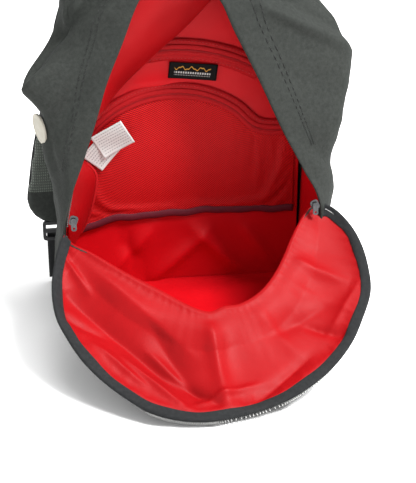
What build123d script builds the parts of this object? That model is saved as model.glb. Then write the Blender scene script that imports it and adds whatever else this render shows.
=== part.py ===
"""Ski backpack: a soft D-based day pack with a fold-down front flap.

The pack stands on its flat base, open. +X is to the right seen from the front, -Y is the front and +Z is up.
The origin is on the ground in the middle of the pack's width. The zip of the front flap ends at one point on
each side, and the line between these two points is the chord about which the flap folds. In front of the chord
the flap lies on a plane that slopes down to the ground; above it the two side panels fold inwards and leave an
opening that narrows to the top. All lengths are in millimetres.
"""

import math
import os

from build123d import *

# The shell's overall size
PACK_WIDTH = 284
PACK_HEIGHT = 438
SHOULDER_HEIGHT = 300  # where the back outline starts to curve in to its domed top
NOSE_DEPTH = 92  # how far the rounded front of the base stands in front of the chord
BACK_Y = 90  # front face of the back shell cloth, where the side panels end

# The chord between the zip ends, and the slopes of the two planes that meet there
CHORD_Y = -20
CHORD_Z = 130
FLAP_SLOPE = 27.5  # below horizontal, towards the front
OPENING_LEAN = 9.5  # of the zip's plane above the chord, back from vertical

# Cloth, foam and board
SHELL_CLOTH = 1.6
LINING_CLOTH = 1.0
BASE_CLOTH = 2.5
BASE_BOARD = 2.5
FRAME_SHEET = 1.5
BACK_FOAM = 8.0
MESH_CLOTH = 1.2
BINDING = 2.0
GAP = 0.3  # between layers that lie on each other
SEAM_GAP = 1.2  # between cloths that meet edge to edge

# The main zip
ZIP_TOP_LEFT = 54  # from the middle to the opening's left edge, at its top
ZIP_TOP_RIGHT = 33  # and to its right edge, which hangs further in
ZIP_RUN = 243  # length of the opening along its plane
ZIP_TOP_RADIUS = 40
ZIP_TAPE_WIDTH = 12
ZIP_TEETH_WIDTH = 3.2
ZIP_TEETH_THICK = 2.6
ZIP_TAPE_THICK = 0.8
SLIDER_LENGTH = 11
SLIDER_WIDTH = 9
SLIDER_THICK = 6
PULLER_LENGTH = 24
MAIN_PULLER_LENGTH = 14
PULLER_WIDTH = 6
PULLER_THICK = 1.4

# The flap, as an ellipse in its own plane
FLAP_HALF_WIDTH = 172
FLAP_HALF_LENGTH = 148
FLAP_CENTRE = 106  # from the chord down the slope
FLAP_START = 22  # the flap's two horns begin this far from the chord
FLAP_DROP = 9.5  # its lining's distance from the chord's plane, so that the closed flap clears the sliders
FLAP_TAPE_WIDTH = 17
LIP_GAP = 1.2  # between the front wall's rim and the flap

# The pockets on the back lining
POCKET_HALF_WIDTH = 130
POCKET_FLOOR = 93
POCKET_SIDE = 196
POCKET_ZIP_X = -12  # the middle of its arc
POCKET_ZIP_RADIUS = 123
POCKET_ZIP_TOP = 247
POCKET_ZIP_LEFT = 64  # degrees of arc from its top to its left end
POCKET_ZIP_RIGHT = 54
POCKET_ZIP_END = 4  # degrees of arc between a closed slider and its zip's end
UPPER_ZIP_X = -14
UPPER_ZIP_RADIUS = 200
UPPER_ZIP_TOP = 298
UPPER_ZIP_LEFT = 31
UPPER_ZIP_RIGHT = 31
POCKET_TAPE_WIDTH = 24
POCKET_TEETH_WIDTH = 5

# Labels and badges
LABEL_X = 12
LABEL_Z = 272
LABEL_TURN = -6
LABEL_WIDTH = 55
LABEL_HEIGHT = 19
LABEL_THICK = 0.8
CARE_WIDTH = 42
CARE_HEIGHT = 36
CARE_THICK = 0.4
BADGE_HALF_WIDTH = 12
BADGE_HALF_HEIGHT = 18
BADGE_THICK = 1
BADGE_X = 166
BADGE_Y = 41
BADGE_Z = 230
BADGE_TILT = 11  # degrees, downwards, as the bulging side does there

# The back and its harness
PAD_THICK = 9
PAD_WIDTH = 84
PAD_X = 62
PAD_FLOOR = 92
PAD_TOP = 368
LUMBAR_WIDTH = 208
LUMBAR_FLOOR = 18
LUMBAR_TOP = 80
PAD_CORNER = 20
STRAP_GAP = 9  # between the back pads and the straps
STRAP_WIDTH = 62
STRAP_MESH = 2.0
STRAP_FOAM = 8.0
STRAP_CLOTH = 1.6
STRAP_TOP_X = 46
STRAP_BOW = 24  # of the strap's arc, outwards from the straight line between its ends
STRAP_END_X = 148
STRAP_END_Z = 113
CAP_TOP = 122
SEAM_Z = 396  # the seam that holds the tops of the straps
YOKE_HALF_WIDTH = 78
YOKE_HEIGHT = 16
WEBBING_WIDTH = 25
WEBBING_THICK = 1.8
ANCHOR_TOP = 46
ANCHOR_FOOT = 41
TAIL_FOOT = 6
LOCK_WIDTH = 34
LOCK_HEIGHT = 24
LOCK_THICK = 5
LOCK_BAR = 4
LOOP_HALF_SPAN = 38
LOOP_RISE = 32
LOOP_WIDTH = 22
LOOP_THICK = 3
CHEST_Z = 306  # where the sternum strap crosses
CHEST_WEBBING = 20
BUCKLE_WIDTH = 27
BUCKLE_LENGTH = 32
BUCKLE_THICK = 8

# Places that follow from the sizes above
HALF = PACK_WIDTH / 2
DOME_RISE = PACK_HEIGHT - SHOULDER_HEIGHT
BASE_TOP = BASE_CLOTH + GAP
BOARD_TOP = BASE_TOP + BASE_BOARD
FLOOR_TOP = BOARD_TOP + GAP + LINING_CLOTH
LINING_DEPTH = SHELL_CLOTH + GAP + LINING_CLOTH
FOAM_Y = BACK_Y - GAP
SHEET_Y = FOAM_Y - BACK_FOAM - GAP
LINING_Y = SHEET_Y - FRAME_SHEET - GAP
LINING_FACE = LINING_Y - LINING_CLOTH  # the side of the back lining that faces the compartment
POCKET_Y = LINING_FACE - GAP
ON_POCKET_Y = POCKET_Y - MESH_CLOTH - GAP
SHELL_BACK = BACK_Y + SHELL_CLOTH
PAD_Y = SHELL_BACK + GAP
PAD_BACK = PAD_Y + PAD_THICK
STRAP_Y = PAD_BACK + STRAP_GAP
STRAP_BACK = STRAP_Y + STRAP_MESH + STRAP_FOAM + STRAP_CLOTH + 2 * GAP

os.makedirs("parts", exist_ok=True)

flap_slope = math.radians(FLAP_SLOPE)
opening_lean = math.radians(OPENING_LEAN)
CHORD = (0, CHORD_Y, CHORD_Z)
# Local x is the pack's x. On the flap, local y points up the slope to the chord, so the flap is at negative y.
flap_plane = Plane(origin=CHORD, x_dir=(1, 0, 0), z_dir=(0, -math.sin(flap_slope), math.cos(flap_slope)))
# On the opening, local y points up the zip and the normal points to the front.
opening_plane = Plane(origin=CHORD, x_dir=(1, 0, 0), z_dir=(0, -math.cos(opening_lean), math.sin(opening_lean)))


def save(builder, label):
    """Labels one finished piece and writes it under its node's name."""
    builder.part.label = label
    export_step(builder.part, f"parts/{label}.step")


def upright(y):
    """A plane parallel to the back at this y: local x and y are the pack's x and z, and its normal points forward."""
    return Plane(origin=(0, y, 0), x_dir=(1, 0, 0), z_dir=(0, -1, 0))


# ---------------------------------------------------------------- base


def base_sketch(inset, z, back):
    """The D-shaped outline of the base, drawn in from the outside by inset, with its straight back at back."""
    half = HALF - inset
    with BuildSketch(Plane.XY.offset(z)) as outline:
        with BuildLine():
            Polyline((half, CHORD_Y), (half, back), (-half, back), (-half, CHORD_Y))
            EllipticalCenterArc((0, CHORD_Y), half, NOSE_DEPTH - inset, 180, arc_size=180)
        make_face()
    return outline.sketch


with BuildPart() as base_shell:
    add(base_sketch(0, 0, SHELL_BACK))
    extrude(amount=BASE_CLOTH)
save(base_shell, "base_shell")

with BuildPart() as base_board:
    add(base_sketch(LINING_DEPTH + GAP, BASE_TOP, LINING_FACE - GAP))
    extrude(amount=BASE_BOARD)
save(base_board, "base_board")

with BuildPart() as lining_base:
    add(base_sketch(LINING_DEPTH + GAP, BOARD_TOP + GAP, LINING_FACE - GAP))
    extrude(amount=LINING_CLOTH)
save(lining_base, "lining_base")

# ---------------------------------------------------------------- front wall


def front_wall(outer, inner, label):
    """The wall round the nose, between two insets, cut along the plane on which the flap lies."""
    with BuildPart() as wall:
        with BuildSketch(Plane.XY.offset(BASE_TOP)):
            with BuildLine():
                EllipticalCenterArc((0, CHORD_Y), HALF - outer, NOSE_DEPTH - outer, 180, arc_size=180)
                EllipticalCenterArc((0, CHORD_Y), HALF - inner, NOSE_DEPTH - inner, 180, arc_size=180)
                Line((-HALF + outer, CHORD_Y), (-HALF + inner, CHORD_Y))
                Line((HALF - inner, CHORD_Y), (HALF - outer, CHORD_Y))
            make_face()
        extrude(amount=CHORD_Z)
        split(bisect_by=flap_plane.offset(-FLAP_DROP), keep=Keep.BOTTOM)
    save(wall, label)


front_wall(0, SHELL_CLOTH, "shell_front")
front_wall(SHELL_CLOTH + GAP, LINING_DEPTH, "lining_front")

# ---------------------------------------------------------------- side panels and top


ZIP_TOP = {1: ZIP_TOP_RIGHT, -1: ZIP_TOP_LEFT}


def zip_edge(z, side):
    """The point of the opening's right (1) or left (-1) edge at this height."""
    along = (z - CHORD_Z) / math.cos(opening_lean)
    x = HALF - 2 - (HALF - 2 - ZIP_TOP[side]) * along / ZIP_RUN
    return (side * x, CHORD_Y + SEAM_GAP + along * math.sin(opening_lean), z)


def dome_edge(angle, side=1):
    """The point of the back outline's dome at this angle above its shoulder, where a side panel meets the back."""
    turn = math.radians(angle)
    return (side * HALF * math.cos(turn), BACK_Y - GAP, SHOULDER_HEIGHT + DOME_RISE * math.sin(turn))


BACK_EDGE = BACK_Y - GAP
FRONT_EDGE = CHORD_Y + SEAM_GAP
FULL_HEIGHT = SHOULDER_HEIGHT - 70  # where a side's lower part ends and its fullest part begins
SHOULDER_DROP = 2  # from the shoulder to the fullest section
SLOPE_RISE = DOME_RISE * 0.38  # from the shoulder to the last section before the top
ZIP_END_Z = CHORD_Z + ZIP_RUN * math.cos(opening_lean) + 3
ZIP_END_Y = CHORD_Y + ZIP_RUN * math.sin(opening_lean) + 1


def side_sections(side):
    """The sections of the right (1) or left (-1) panel, from the base up.

    A section runs from the zip's edge over a rounded knee to the back outline: the three corners of its outline,
    and the knee's radius. The cloth between the zip and the knee stays behind the closed flap.
    """
    full = FULL_HEIGHT
    widest = SHOULDER_HEIGHT - SHOULDER_DROP
    slope = SHOULDER_HEIGHT + SLOPE_RISE
    foot = (side * (HALF + 2), 35, BASE_TOP)
    return [
        ((side * HALF, FRONT_EDGE, BASE_TOP), foot, (side * HALF, BACK_EDGE, BASE_TOP), 500),
        (
            (side * (HALF - 2), FRONT_EDGE, CHORD_Z),
            (side * (HALF + 16), 20, CHORD_Z),
            (side * HALF, BACK_EDGE, CHORD_Z),
            100,
        ),
        (zip_edge(full, side), (side * (HALF + 42), 12, full), (side * HALF, BACK_EDGE, full), 40),
        (zip_edge(widest, side), (side * (HALF + 62), 30, widest - 2), dome_edge(0, side), 25),
        (zip_edge(slope, side), (side * (HALF + 28), 36, slope + 4), dome_edge(25, side), 24),
    ]


def top_section(side):
    """The section where the top panel turns over the right (1) or left (-1) corner of the opening."""
    corner = (side * (ZIP_TOP[side] - 16), ZIP_END_Y, ZIP_END_Z)
    return (corner, (side * (HALF - 48), 36, PACK_HEIGHT - 28), dome_edge(52, side), 24)


CROWN = ((0, ZIP_END_Y, ZIP_END_Z + 1), (0, 33, PACK_HEIGHT - 2), dome_edge(90), 24)


def cloth_section(section, outer, inner):
    """The cross-section of a cloth between two depths inside the line through a section's three corners."""
    front, knee, back = [Vector(*p) for p in section[:3]]
    turn = (front - knee).cross(back - knee)
    plane = Plane(origin=knee, x_dir=front - knee, z_dir=turn)
    front, back = [plane.to_local_coords(p) for p in (front, back)]
    # Both normals point into the pack, and their sum moves the knee along its bisector.
    into_front = Vector(0, 1)
    into_back = Vector(back.Y, -back.X).normalized()
    bisector = (into_front + into_back) * (1 / (1 + into_front.dot(into_back)))
    with BuildSketch(plane) as profile:
        with BuildLine():
            ends = []
            for depth in (outer, inner):
                corners = (front + into_front * depth, bisector * depth, back + into_back * depth)
                FilletPolyline(*corners, radius=section[3] - depth)
                ends.append(corners)
            Line(ends[0][0], ends[1][0])
            Line(ends[0][2], ends[1][2])
        make_face()
    return profile.sketch


def side_panel(outer, inner, label):
    """A right and a left panel, each lofted from the base to the start of the top."""
    for side, name in ((1, "right"), (-1, "left")):
        with BuildPart() as panel:
            loft([cloth_section(section, outer, inner) for section in side_sections(side)])
        save(panel, f"{label}_{name}")


def top_panel(outer, inner, label):
    """The panel over the top, from one side panel to the other."""
    right = [side_sections(1)[-1], top_section(1)]
    left = [top_section(-1), side_sections(-1)[-1]]
    with BuildPart() as top:
        loft([cloth_section(section, outer, inner) for section in right + [CROWN] + left])
    save(top, label)


side_panel(0, SHELL_CLOTH, "shell_side")
side_panel(SHELL_CLOTH + GAP, LINING_DEPTH, "lining_side")
top_panel(0, SHELL_CLOTH, "shell_top")
top_panel(SHELL_CLOTH + GAP, LINING_DEPTH, "lining_top")

# ---------------------------------------------------------------- back: lining, frame sheet, foam and shell


def back_layer(y, thickness, inset, label):
    """One layer of the back, with the domed outline, from y towards the front."""
    half = HALF - inset
    with BuildPart() as layer:
        with BuildSketch(upright(y)):
            with BuildLine():
                Polyline((half, SHOULDER_HEIGHT), (half, BASE_TOP), (-half, BASE_TOP), (-half, SHOULDER_HEIGHT))
                EllipticalCenterArc((0, SHOULDER_HEIGHT), half, DOME_RISE - inset, 0, arc_size=180)
            make_face()
        extrude(amount=thickness)
    save(layer, label)


# The inner layers stay clear of the side panels' linings, which lean in towards the top.
back_layer(SHELL_BACK, SHELL_CLOTH, 0, "shell_back")
back_layer(FOAM_Y, BACK_FOAM, LINING_DEPTH + 10, "back_foam")
back_layer(SHEET_Y, FRAME_SHEET, LINING_DEPTH + 12, "frame_sheet")
back_layer(LINING_Y, LINING_CLOTH, LINING_DEPTH + 6, "lining_back")

# ---------------------------------------------------------------- mesh pocket


with BuildPart() as mesh_pocket:
    with BuildSketch(upright(POCKET_Y)):
        with BuildLine():
            Polyline(
                (POCKET_HALF_WIDTH, POCKET_SIDE),
                (POCKET_HALF_WIDTH, POCKET_FLOOR + BINDING * 3),
                (-POCKET_HALF_WIDTH, POCKET_FLOOR + BINDING * 3),
                (-POCKET_HALF_WIDTH, POCKET_SIDE),
            )
            ThreePointArc(
                (-POCKET_HALF_WIDTH, POCKET_SIDE),
                (0, POCKET_ZIP_TOP - POCKET_TAPE_WIDTH),
                (POCKET_HALF_WIDTH, POCKET_SIDE),
            )
        make_face()
    extrude(amount=MESH_CLOTH)
save(mesh_pocket, "mesh_pocket")

with BuildPart() as pocket_binding:
    with BuildSketch(upright(POCKET_Y)):
        with Locations((0, POCKET_FLOOR + BINDING * 1.5 - GAP)):
            Rectangle(2 * POCKET_HALF_WIDTH, BINDING * 3)
    extrude(amount=BINDING)
save(pocket_binding, "pocket_binding")


def arched_band(y, thickness, arc, width, label):
    """A band along an arc, such as a zip's tape or its teeth."""
    middle, radius, top, left, right = arc
    sweep = (90 - right, left + right)
    with BuildPart() as band:
        with BuildSketch(upright(y)):
            with BuildLine():
                outer = CenterArc((middle, top - radius), radius + width / 2, *sweep)
                inner = CenterArc((middle, top - radius), radius - width / 2, *sweep)
                Line(outer @ 0, inner @ 0)
                Line(outer @ 1, inner @ 1)
            make_face()
        extrude(amount=thickness)
    save(band, label)


def pocket_zip(arc, name):
    """An arched zip on the back lining: its slider is at the left end of the arc, and a tab hangs from it.

    The arc is its middle, its radius, the height of its top, and the degrees to its left and right ends.
    """
    middle, radius, top, left, right = arc
    teeth_y = ON_POCKET_Y - ZIP_TAPE_THICK - GAP
    slider_y = teeth_y - ZIP_TEETH_THICK / 2 - GAP
    bridge_y = slider_y - SLIDER_THICK / 3
    puller_y = bridge_y - SLIDER_THICK / 4 - GAP
    arched_band(ON_POCKET_Y, ZIP_TAPE_THICK, arc, POCKET_TAPE_WIDTH, f"{name}_tape")
    arched_band(teeth_y, ZIP_TEETH_THICK / 2, arc, POCKET_TEETH_WIDTH, f"{name}_teeth")
    turn = left - POCKET_ZIP_END
    x = middle - radius * math.sin(math.radians(turn))
    z = top - radius * (1 - math.cos(math.radians(turn)))
    with BuildPart() as slider:
        with BuildSketch(upright(slider_y)):
            with Locations(Location((x, z, 0), (0, 0, turn))):
                RectangleRounded(SLIDER_LENGTH, SLIDER_WIDTH, SLIDER_WIDTH / 3)
        extrude(amount=SLIDER_THICK / 3)
        with BuildSketch(upright(bridge_y)):
            with Locations(Location((x, z, 0), (0, 0, turn))):
                Rectangle(SLIDER_LENGTH / 2, SLIDER_WIDTH / 4)
        extrude(amount=SLIDER_THICK / 4)
    save(slider, f"{name}_slider")
    with BuildPart() as puller:
        with BuildSketch(upright(puller_y)):
            with Locations((x, z - PULLER_LENGTH / 2)):
                RectangleRounded(PULLER_WIDTH, PULLER_LENGTH, PULLER_WIDTH / 2.5)
            with Locations((x, z - PULLER_LENGTH + PULLER_WIDTH / 2)):
                Circle(PULLER_WIDTH / 5, mode=Mode.SUBTRACT)
        extrude(amount=PULLER_THICK)
    save(puller, f"{name}_puller")


POCKET_ARC = (POCKET_ZIP_X, POCKET_ZIP_RADIUS, POCKET_ZIP_TOP, POCKET_ZIP_LEFT, POCKET_ZIP_RIGHT)
UPPER_ARC = (UPPER_ZIP_X, UPPER_ZIP_RADIUS, UPPER_ZIP_TOP, UPPER_ZIP_LEFT, UPPER_ZIP_RIGHT)
pocket_zip(POCKET_ARC, "pocket_zip")
pocket_zip(UPPER_ARC, "upper_zip")

# ---------------------------------------------------------------- labels and badges


CARE_Y = ON_POCKET_Y - ZIP_TAPE_THICK - ZIP_TEETH_THICK - GAP
with BuildPart() as woven_label:
    with BuildSketch(upright(LINING_FACE - GAP)):
        with Locations(Location((LABEL_X, LABEL_Z, 0), (0, 0, LABEL_TURN))):
            Rectangle(LABEL_WIDTH, LABEL_HEIGHT)
    extrude(amount=LABEL_THICK)
save(woven_label, "woven_label")

with BuildPart() as care_labels:
    for turn, y in ((30, CARE_Y), (36, CARE_Y - 2 * CARE_THICK)):
        with BuildSketch(upright(y)):
            with Locations(Location((-82, 190, 0), (0, 0, turn))):
                Rectangle(CARE_WIDTH, CARE_HEIGHT)
        extrude(amount=CARE_THICK)
save(care_labels, "care_labels")

with BuildPart() as side_badges:
    for side in (1, -1):
        outward = (side * math.cos(math.radians(BADGE_TILT)), 0, -math.sin(math.radians(BADGE_TILT)))
        with BuildSketch(Plane(origin=(side * BADGE_X, BADGE_Y, BADGE_Z), x_dir=(0, side, 0), z_dir=outward)):
            Ellipse(BADGE_HALF_WIDTH, BADGE_HALF_HEIGHT)
        extrude(amount=BADGE_THICK)
save(side_badges, "side_badges")

# ---------------------------------------------------------------- main zip on the body


def opening_face(grow):
    """The opening's outline in its own plane, grown by grow on every side but its foot."""
    high = ZIP_RUN + grow
    corners = []
    for side in (-1, 1):
        lean_in = (HALF - 2 - ZIP_TOP[side]) / ZIP_RUN
        foot = HALF - 2 + grow * math.hypot(1, lean_in)
        corners += [(side * foot, 0), (side * (foot - high * lean_in), high)]
    corners = (corners[0], corners[1], corners[3], corners[2])
    with BuildSketch(opening_plane) as outline:
        with BuildLine():
            FilletPolyline(*corners, radius=ZIP_TOP_RADIUS + grow)
            Line(corners[3], corners[0])
        make_face()
    return outline.sketch


def opening_ring(inner, outer, lift, thickness, label):
    """A band round the opening between two distances from its edge, lifted off the opening's plane."""
    with BuildPart() as ring:
        add(opening_face(outer))
        extrude(amount=lift + thickness)
        add(opening_face(inner))
        extrude(amount=lift + thickness, mode=Mode.SUBTRACT)
        split(bisect_by=opening_plane.offset(lift), keep=Keep.TOP)
    save(ring, label)


TAPE_LIFT = GAP + (ZIP_TEETH_THICK - ZIP_TAPE_THICK) / 2
opening_ring(-ZIP_TEETH_WIDTH, 0, GAP, ZIP_TEETH_THICK, "zip_teeth_body")
opening_ring(GAP / 2, ZIP_TAPE_WIDTH, TAPE_LIFT, ZIP_TAPE_THICK, "zip_tape_body")

edge_turn = {side: math.degrees(math.atan2(HALF - 2 - ZIP_TOP[side], ZIP_RUN)) for side in (1, -1)}
SLIDER_LIFT = GAP + ZIP_TEETH_THICK + GAP


def on_edge(side, along):
    """The middle of the teeth on the opening's left (-1) or right (1) edge, this far above the chord, in its plane."""
    x = HALF - 2 - along * math.tan(math.radians(edge_turn[side])) - ZIP_TEETH_WIDTH / 2
    return (side * x, along)


for side, name in ((1, "right"), (-1, "left")):
    along_edge = Location(on_edge(side, SLIDER_LENGTH), (0, 0, side * edge_turn[side]))
    with BuildPart() as slider:
        with BuildSketch(opening_plane.offset(SLIDER_LIFT)):
            with Locations(along_edge):
                RectangleRounded(SLIDER_WIDTH, SLIDER_LENGTH, SLIDER_WIDTH / 3)
        extrude(amount=SLIDER_THICK / 4)
        with BuildSketch(opening_plane.offset(SLIDER_LIFT + SLIDER_THICK / 4)):
            with Locations(along_edge):
                Rectangle(SLIDER_WIDTH / 4, SLIDER_LENGTH / 2)
        extrude(amount=SLIDER_THICK / 6)
    save(slider, f"main_slider_{name}")
    with BuildPart() as puller:
        with BuildSketch(opening_plane.offset(SLIDER_LIFT + SLIDER_THICK * 5 / 12 + GAP)):
            with Locations(on_edge(side, SLIDER_LENGTH)):
                with Locations((0, -MAIN_PULLER_LENGTH / 2 + PULLER_WIDTH / 2)):
                    RectangleRounded(PULLER_WIDTH, MAIN_PULLER_LENGTH, PULLER_WIDTH / 2.5)
                with Locations((0, -MAIN_PULLER_LENGTH + PULLER_WIDTH)):
                    Circle(PULLER_WIDTH / 5, mode=Mode.SUBTRACT)
        extrude(amount=PULLER_THICK)
    save(puller, f"main_puller_{name}")

# ---------------------------------------------------------------- flap


def flap_layer(outer, inner, top, thickness, label):
    """A layer of the flap below its plane: grown by outer from the rim, and open inside the inner distance if given."""
    # The upright nose cuts a sloping plane in a longer ellipse, which moves down the slope with the plane's depth.
    nose_shift = (top + thickness) * math.tan(flap_slope)
    nose_length = (NOSE_DEPTH + LIP_GAP) / math.cos(flap_slope)
    with BuildPart() as layer:
        with BuildSketch(flap_plane.offset(-top)):
            with Locations((0, -FLAP_CENTRE)):
                Ellipse(FLAP_HALF_WIDTH + outer, FLAP_HALF_LENGTH + outer)
                if inner is not None:
                    Ellipse(FLAP_HALF_WIDTH + inner, FLAP_HALF_LENGTH + inner, mode=Mode.SUBTRACT)
            with Locations((0, FLAP_HALF_LENGTH - FLAP_START)):
                Rectangle(3 * FLAP_HALF_WIDTH, 2 * FLAP_HALF_LENGTH, mode=Mode.SUBTRACT)
            with Locations((0, -nose_shift)):
                Ellipse(HALF + LIP_GAP, nose_length, mode=Mode.SUBTRACT)
        extrude(amount=-thickness)
    save(layer, label)


TAPE_TOP = FLAP_DROP - GAP - ZIP_TAPE_THICK
TEETH_START = 2  # of the flap's teeth, outside its cloth
flap_layer(0, None, FLAP_DROP, LINING_CLOTH, "flap_lining")
flap_layer(0, None, FLAP_DROP + LINING_CLOTH + GAP, SHELL_CLOTH, "flap_shell")
flap_layer(TEETH_START - GAP / 2, -FLAP_TAPE_WIDTH, TAPE_TOP, ZIP_TAPE_THICK, "flap_zip_tape")
teeth_top = TAPE_TOP - (ZIP_TEETH_THICK - ZIP_TAPE_THICK) / 2
flap_layer(TEETH_START + ZIP_TEETH_WIDTH, TEETH_START, teeth_top, ZIP_TEETH_THICK, "flap_zip_teeth")

# ---------------------------------------------------------------- back pads


def pad(x, width, foot, top, label):
    """A rounded pad on the outside of the back."""
    with BuildPart() as cushion:
        with BuildSketch(upright(PAD_BACK)):
            with Locations((x, (foot + top) / 2)):
                RectangleRounded(width, top - foot, PAD_CORNER)
        extrude(amount=PAD_THICK)
        fillet(cushion.faces().sort_by(Axis.Y)[-1].edges(), PAD_THICK / 2)
    save(cushion, label)


pad(PAD_X, PAD_WIDTH, PAD_FLOOR, PAD_TOP, "back_pad_right")
pad(-PAD_X, PAD_WIDTH, PAD_FLOOR, PAD_TOP, "back_pad_left")
pad(0, LUMBAR_WIDTH, LUMBAR_FLOOR, LUMBAR_TOP, "lumbar_pad")

# ---------------------------------------------------------------- yoke and haul loop

with BuildPart() as strap_yoke:
    with BuildSketch(upright(STRAP_BACK)):
        with Locations((0, SEAM_Z + YOKE_HEIGHT / 2)):
            RectangleRounded(2 * YOKE_HALF_WIDTH, YOKE_HEIGHT, YOKE_HEIGHT / 3)
    extrude(amount=STRAP_BACK - PAD_Y)
save(strap_yoke, "strap_yoke")

LOOP_FOOT = SEAM_Z + YOKE_HEIGHT + GAP
with BuildPart() as haul_loop:
    with BuildSketch(upright(STRAP_BACK)):
        with Locations((0, LOOP_FOOT)):
            Ellipse(LOOP_HALF_SPAN, LOOP_RISE)
            Ellipse(LOOP_HALF_SPAN - LOOP_THICK, LOOP_RISE - LOOP_THICK, mode=Mode.SUBTRACT)
        with Locations((0, LOOP_FOOT - LOOP_RISE)):
            Rectangle(3 * LOOP_HALF_SPAN, 2 * LOOP_RISE, mode=Mode.SUBTRACT)
    extrude(amount=LOOP_WIDTH)
save(haul_loop, "haul_loop")

# ---------------------------------------------------------------- shoulder straps

STRAP_TOP_Z = SEAM_Z - GAP - STRAP_WIDTH / 2
strap_top = Vector(STRAP_TOP_X, STRAP_TOP_Z)
strap_end = Vector(STRAP_END_X, STRAP_END_Z)
run = strap_end - strap_top
strap_middle = (strap_top + strap_end) * 0.5 + Vector(-run.Y, run.X).normalized() * STRAP_BOW


def strap_layer(back, thickness, inset, above_cap):
    """One layer of the right strap from its back face forwards, on one side of the end cap's edge."""
    with BuildPart() as layer:
        with BuildLine(mode=Mode.PRIVATE) as path:
            ThreePointArc(strap_top, strap_middle, strap_end)
        with BuildSketch(upright(back)):
            SlotArc(path.edge(), STRAP_WIDTH - 2 * inset)
        extrude(amount=thickness)
        if above_cap:
            split(bisect_by=Plane.XY.offset(CAP_TOP + GAP), keep=Keep.TOP)
        else:
            split(bisect_by=Plane.XY.offset(CAP_TOP), keep=Keep.BOTTOM)
    return layer.part


FOAM_BACK = STRAP_BACK - STRAP_CLOTH - GAP
MESH_BACK = FOAM_BACK - STRAP_FOAM - GAP
LOCK_TOP = STRAP_END_Z - STRAP_WIDTH / 2 - GAP
LOCK_Z = LOCK_TOP - LOCK_HEIGHT / 2
LOCK_BACK = (STRAP_Y + STRAP_BACK + LOCK_THICK) / 2

with BuildPart() as ladder_lock:
    with BuildSketch(upright(LOCK_BACK)):
        with Locations((STRAP_END_X, LOCK_Z)):
            RectangleRounded(LOCK_WIDTH, LOCK_HEIGHT, LOCK_BAR)
            slot = (LOCK_HEIGHT - 3 * LOCK_BAR) / 2
            with GridLocations(0, slot + LOCK_BAR, 1, 2):
                Rectangle(LOCK_WIDTH - 2 * LOCK_BAR, slot, mode=Mode.SUBTRACT)
    extrude(amount=LOCK_THICK)

with BuildPart() as strap_anchors:
    for side in (1, -1):
        with BuildSketch(upright(SHELL_BACK + GAP + WEBBING_THICK)):
            with BuildLine():
                Polyline(
                    (side * (HALF - ANCHOR_FOOT), BASE_TOP),
                    (side * HALF, BASE_TOP),
                    (side * HALF, ANCHOR_TOP),
                    (side * (HALF - WEBBING_WIDTH), ANCHOR_TOP),
                    close=True,
                )
            make_face()
        extrude(amount=WEBBING_THICK)
save(strap_anchors, "strap_anchors")

with BuildPart() as strap_webbing:
    with BuildSketch(upright(LOCK_BACK + GAP + WEBBING_THICK)):
        with Locations((STRAP_END_X, (LOCK_Z + TAIL_FOOT) / 2)):
            Rectangle(WEBBING_WIDTH, LOCK_Z - TAIL_FOOT)
    extrude(amount=WEBBING_THICK)

# ---------------------------------------------------------------- sternum strap

chest_turn = (STRAP_TOP_Z - CHEST_Z) / (STRAP_TOP_Z - STRAP_END_Z)
CHEST_X = STRAP_TOP_X + (STRAP_END_X - STRAP_TOP_X) * chest_turn + STRAP_BOW * 4 * chest_turn * (1 - chest_turn)
CHEST_BACK = STRAP_BACK + GAP + BUCKLE_THICK
WEB_BACK = STRAP_BACK + GAP + (BUCKLE_THICK + WEBBING_THICK) / 2
HANG = CHEST_X - BUCKLE_LENGTH / 2 - 4  # the webbing's length, so that both buckles just meet at the middle

with BuildPart() as sternum_webbing:
    with BuildSketch(upright(WEB_BACK)):
        with Locations((CHEST_X, CHEST_Z - HANG / 2 + CHEST_WEBBING / 2)):
            Rectangle(CHEST_WEBBING, HANG)
    extrude(amount=WEBBING_THICK)


def buckle_half(prongs):
    """One half of the side-release buckle at the end of the right webbing, with its prongs or its socket."""
    top = CHEST_Z - HANG + CHEST_WEBBING / 2 - GAP
    with BuildPart() as half:
        with BuildSketch(upright(CHEST_BACK)):
            with Locations((CHEST_X, top - BUCKLE_LENGTH / 4)):
                RectangleRounded(BUCKLE_WIDTH, BUCKLE_LENGTH / 2, BUCKLE_WIDTH / 8)
        extrude(amount=BUCKLE_THICK)
        if prongs:
            with BuildSketch(upright(CHEST_BACK - BUCKLE_THICK / 4)):
                with Locations((CHEST_X, top - BUCKLE_LENGTH / 2 - BUCKLE_LENGTH / 8)):
                    with GridLocations(BUCKLE_WIDTH / 3, 0, 3, 1):
                        Rectangle(BUCKLE_WIDTH / 7, BUCKLE_LENGTH / 4)
            extrude(amount=BUCKLE_THICK / 2)
        else:
            with BuildSketch(upright(CHEST_BACK - BUCKLE_THICK / 5)):
                with Locations((CHEST_X, top - BUCKLE_LENGTH / 2)):
                    Rectangle(BUCKLE_WIDTH * 0.8, BUCKLE_LENGTH / 2)
            extrude(amount=BUCKLE_THICK * 3 / 5, mode=Mode.SUBTRACT)
    return half.part


strap_pieces = {
    "strap_cloth": strap_layer(STRAP_BACK, STRAP_CLOTH, 0, True),
    "strap_foam": strap_layer(FOAM_BACK, STRAP_FOAM, 3, True),
    "strap_mesh": strap_layer(MESH_BACK, STRAP_MESH, 0, True),
    "strap_cap": strap_layer(STRAP_BACK, STRAP_BACK - STRAP_Y, 0, False),
    "ladder_lock": ladder_lock.part,
    "strap_webbing": strap_webbing.part,
    "sternum_webbing": sternum_webbing.part,
}
for name, piece in strap_pieces.items():
    with BuildPart() as right:
        add(piece)
    save(right, f"{name}_right")
    with BuildPart() as left:
        add(mirror(piece, about=Plane.YZ))
    save(left, f"{name}_left")

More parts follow.
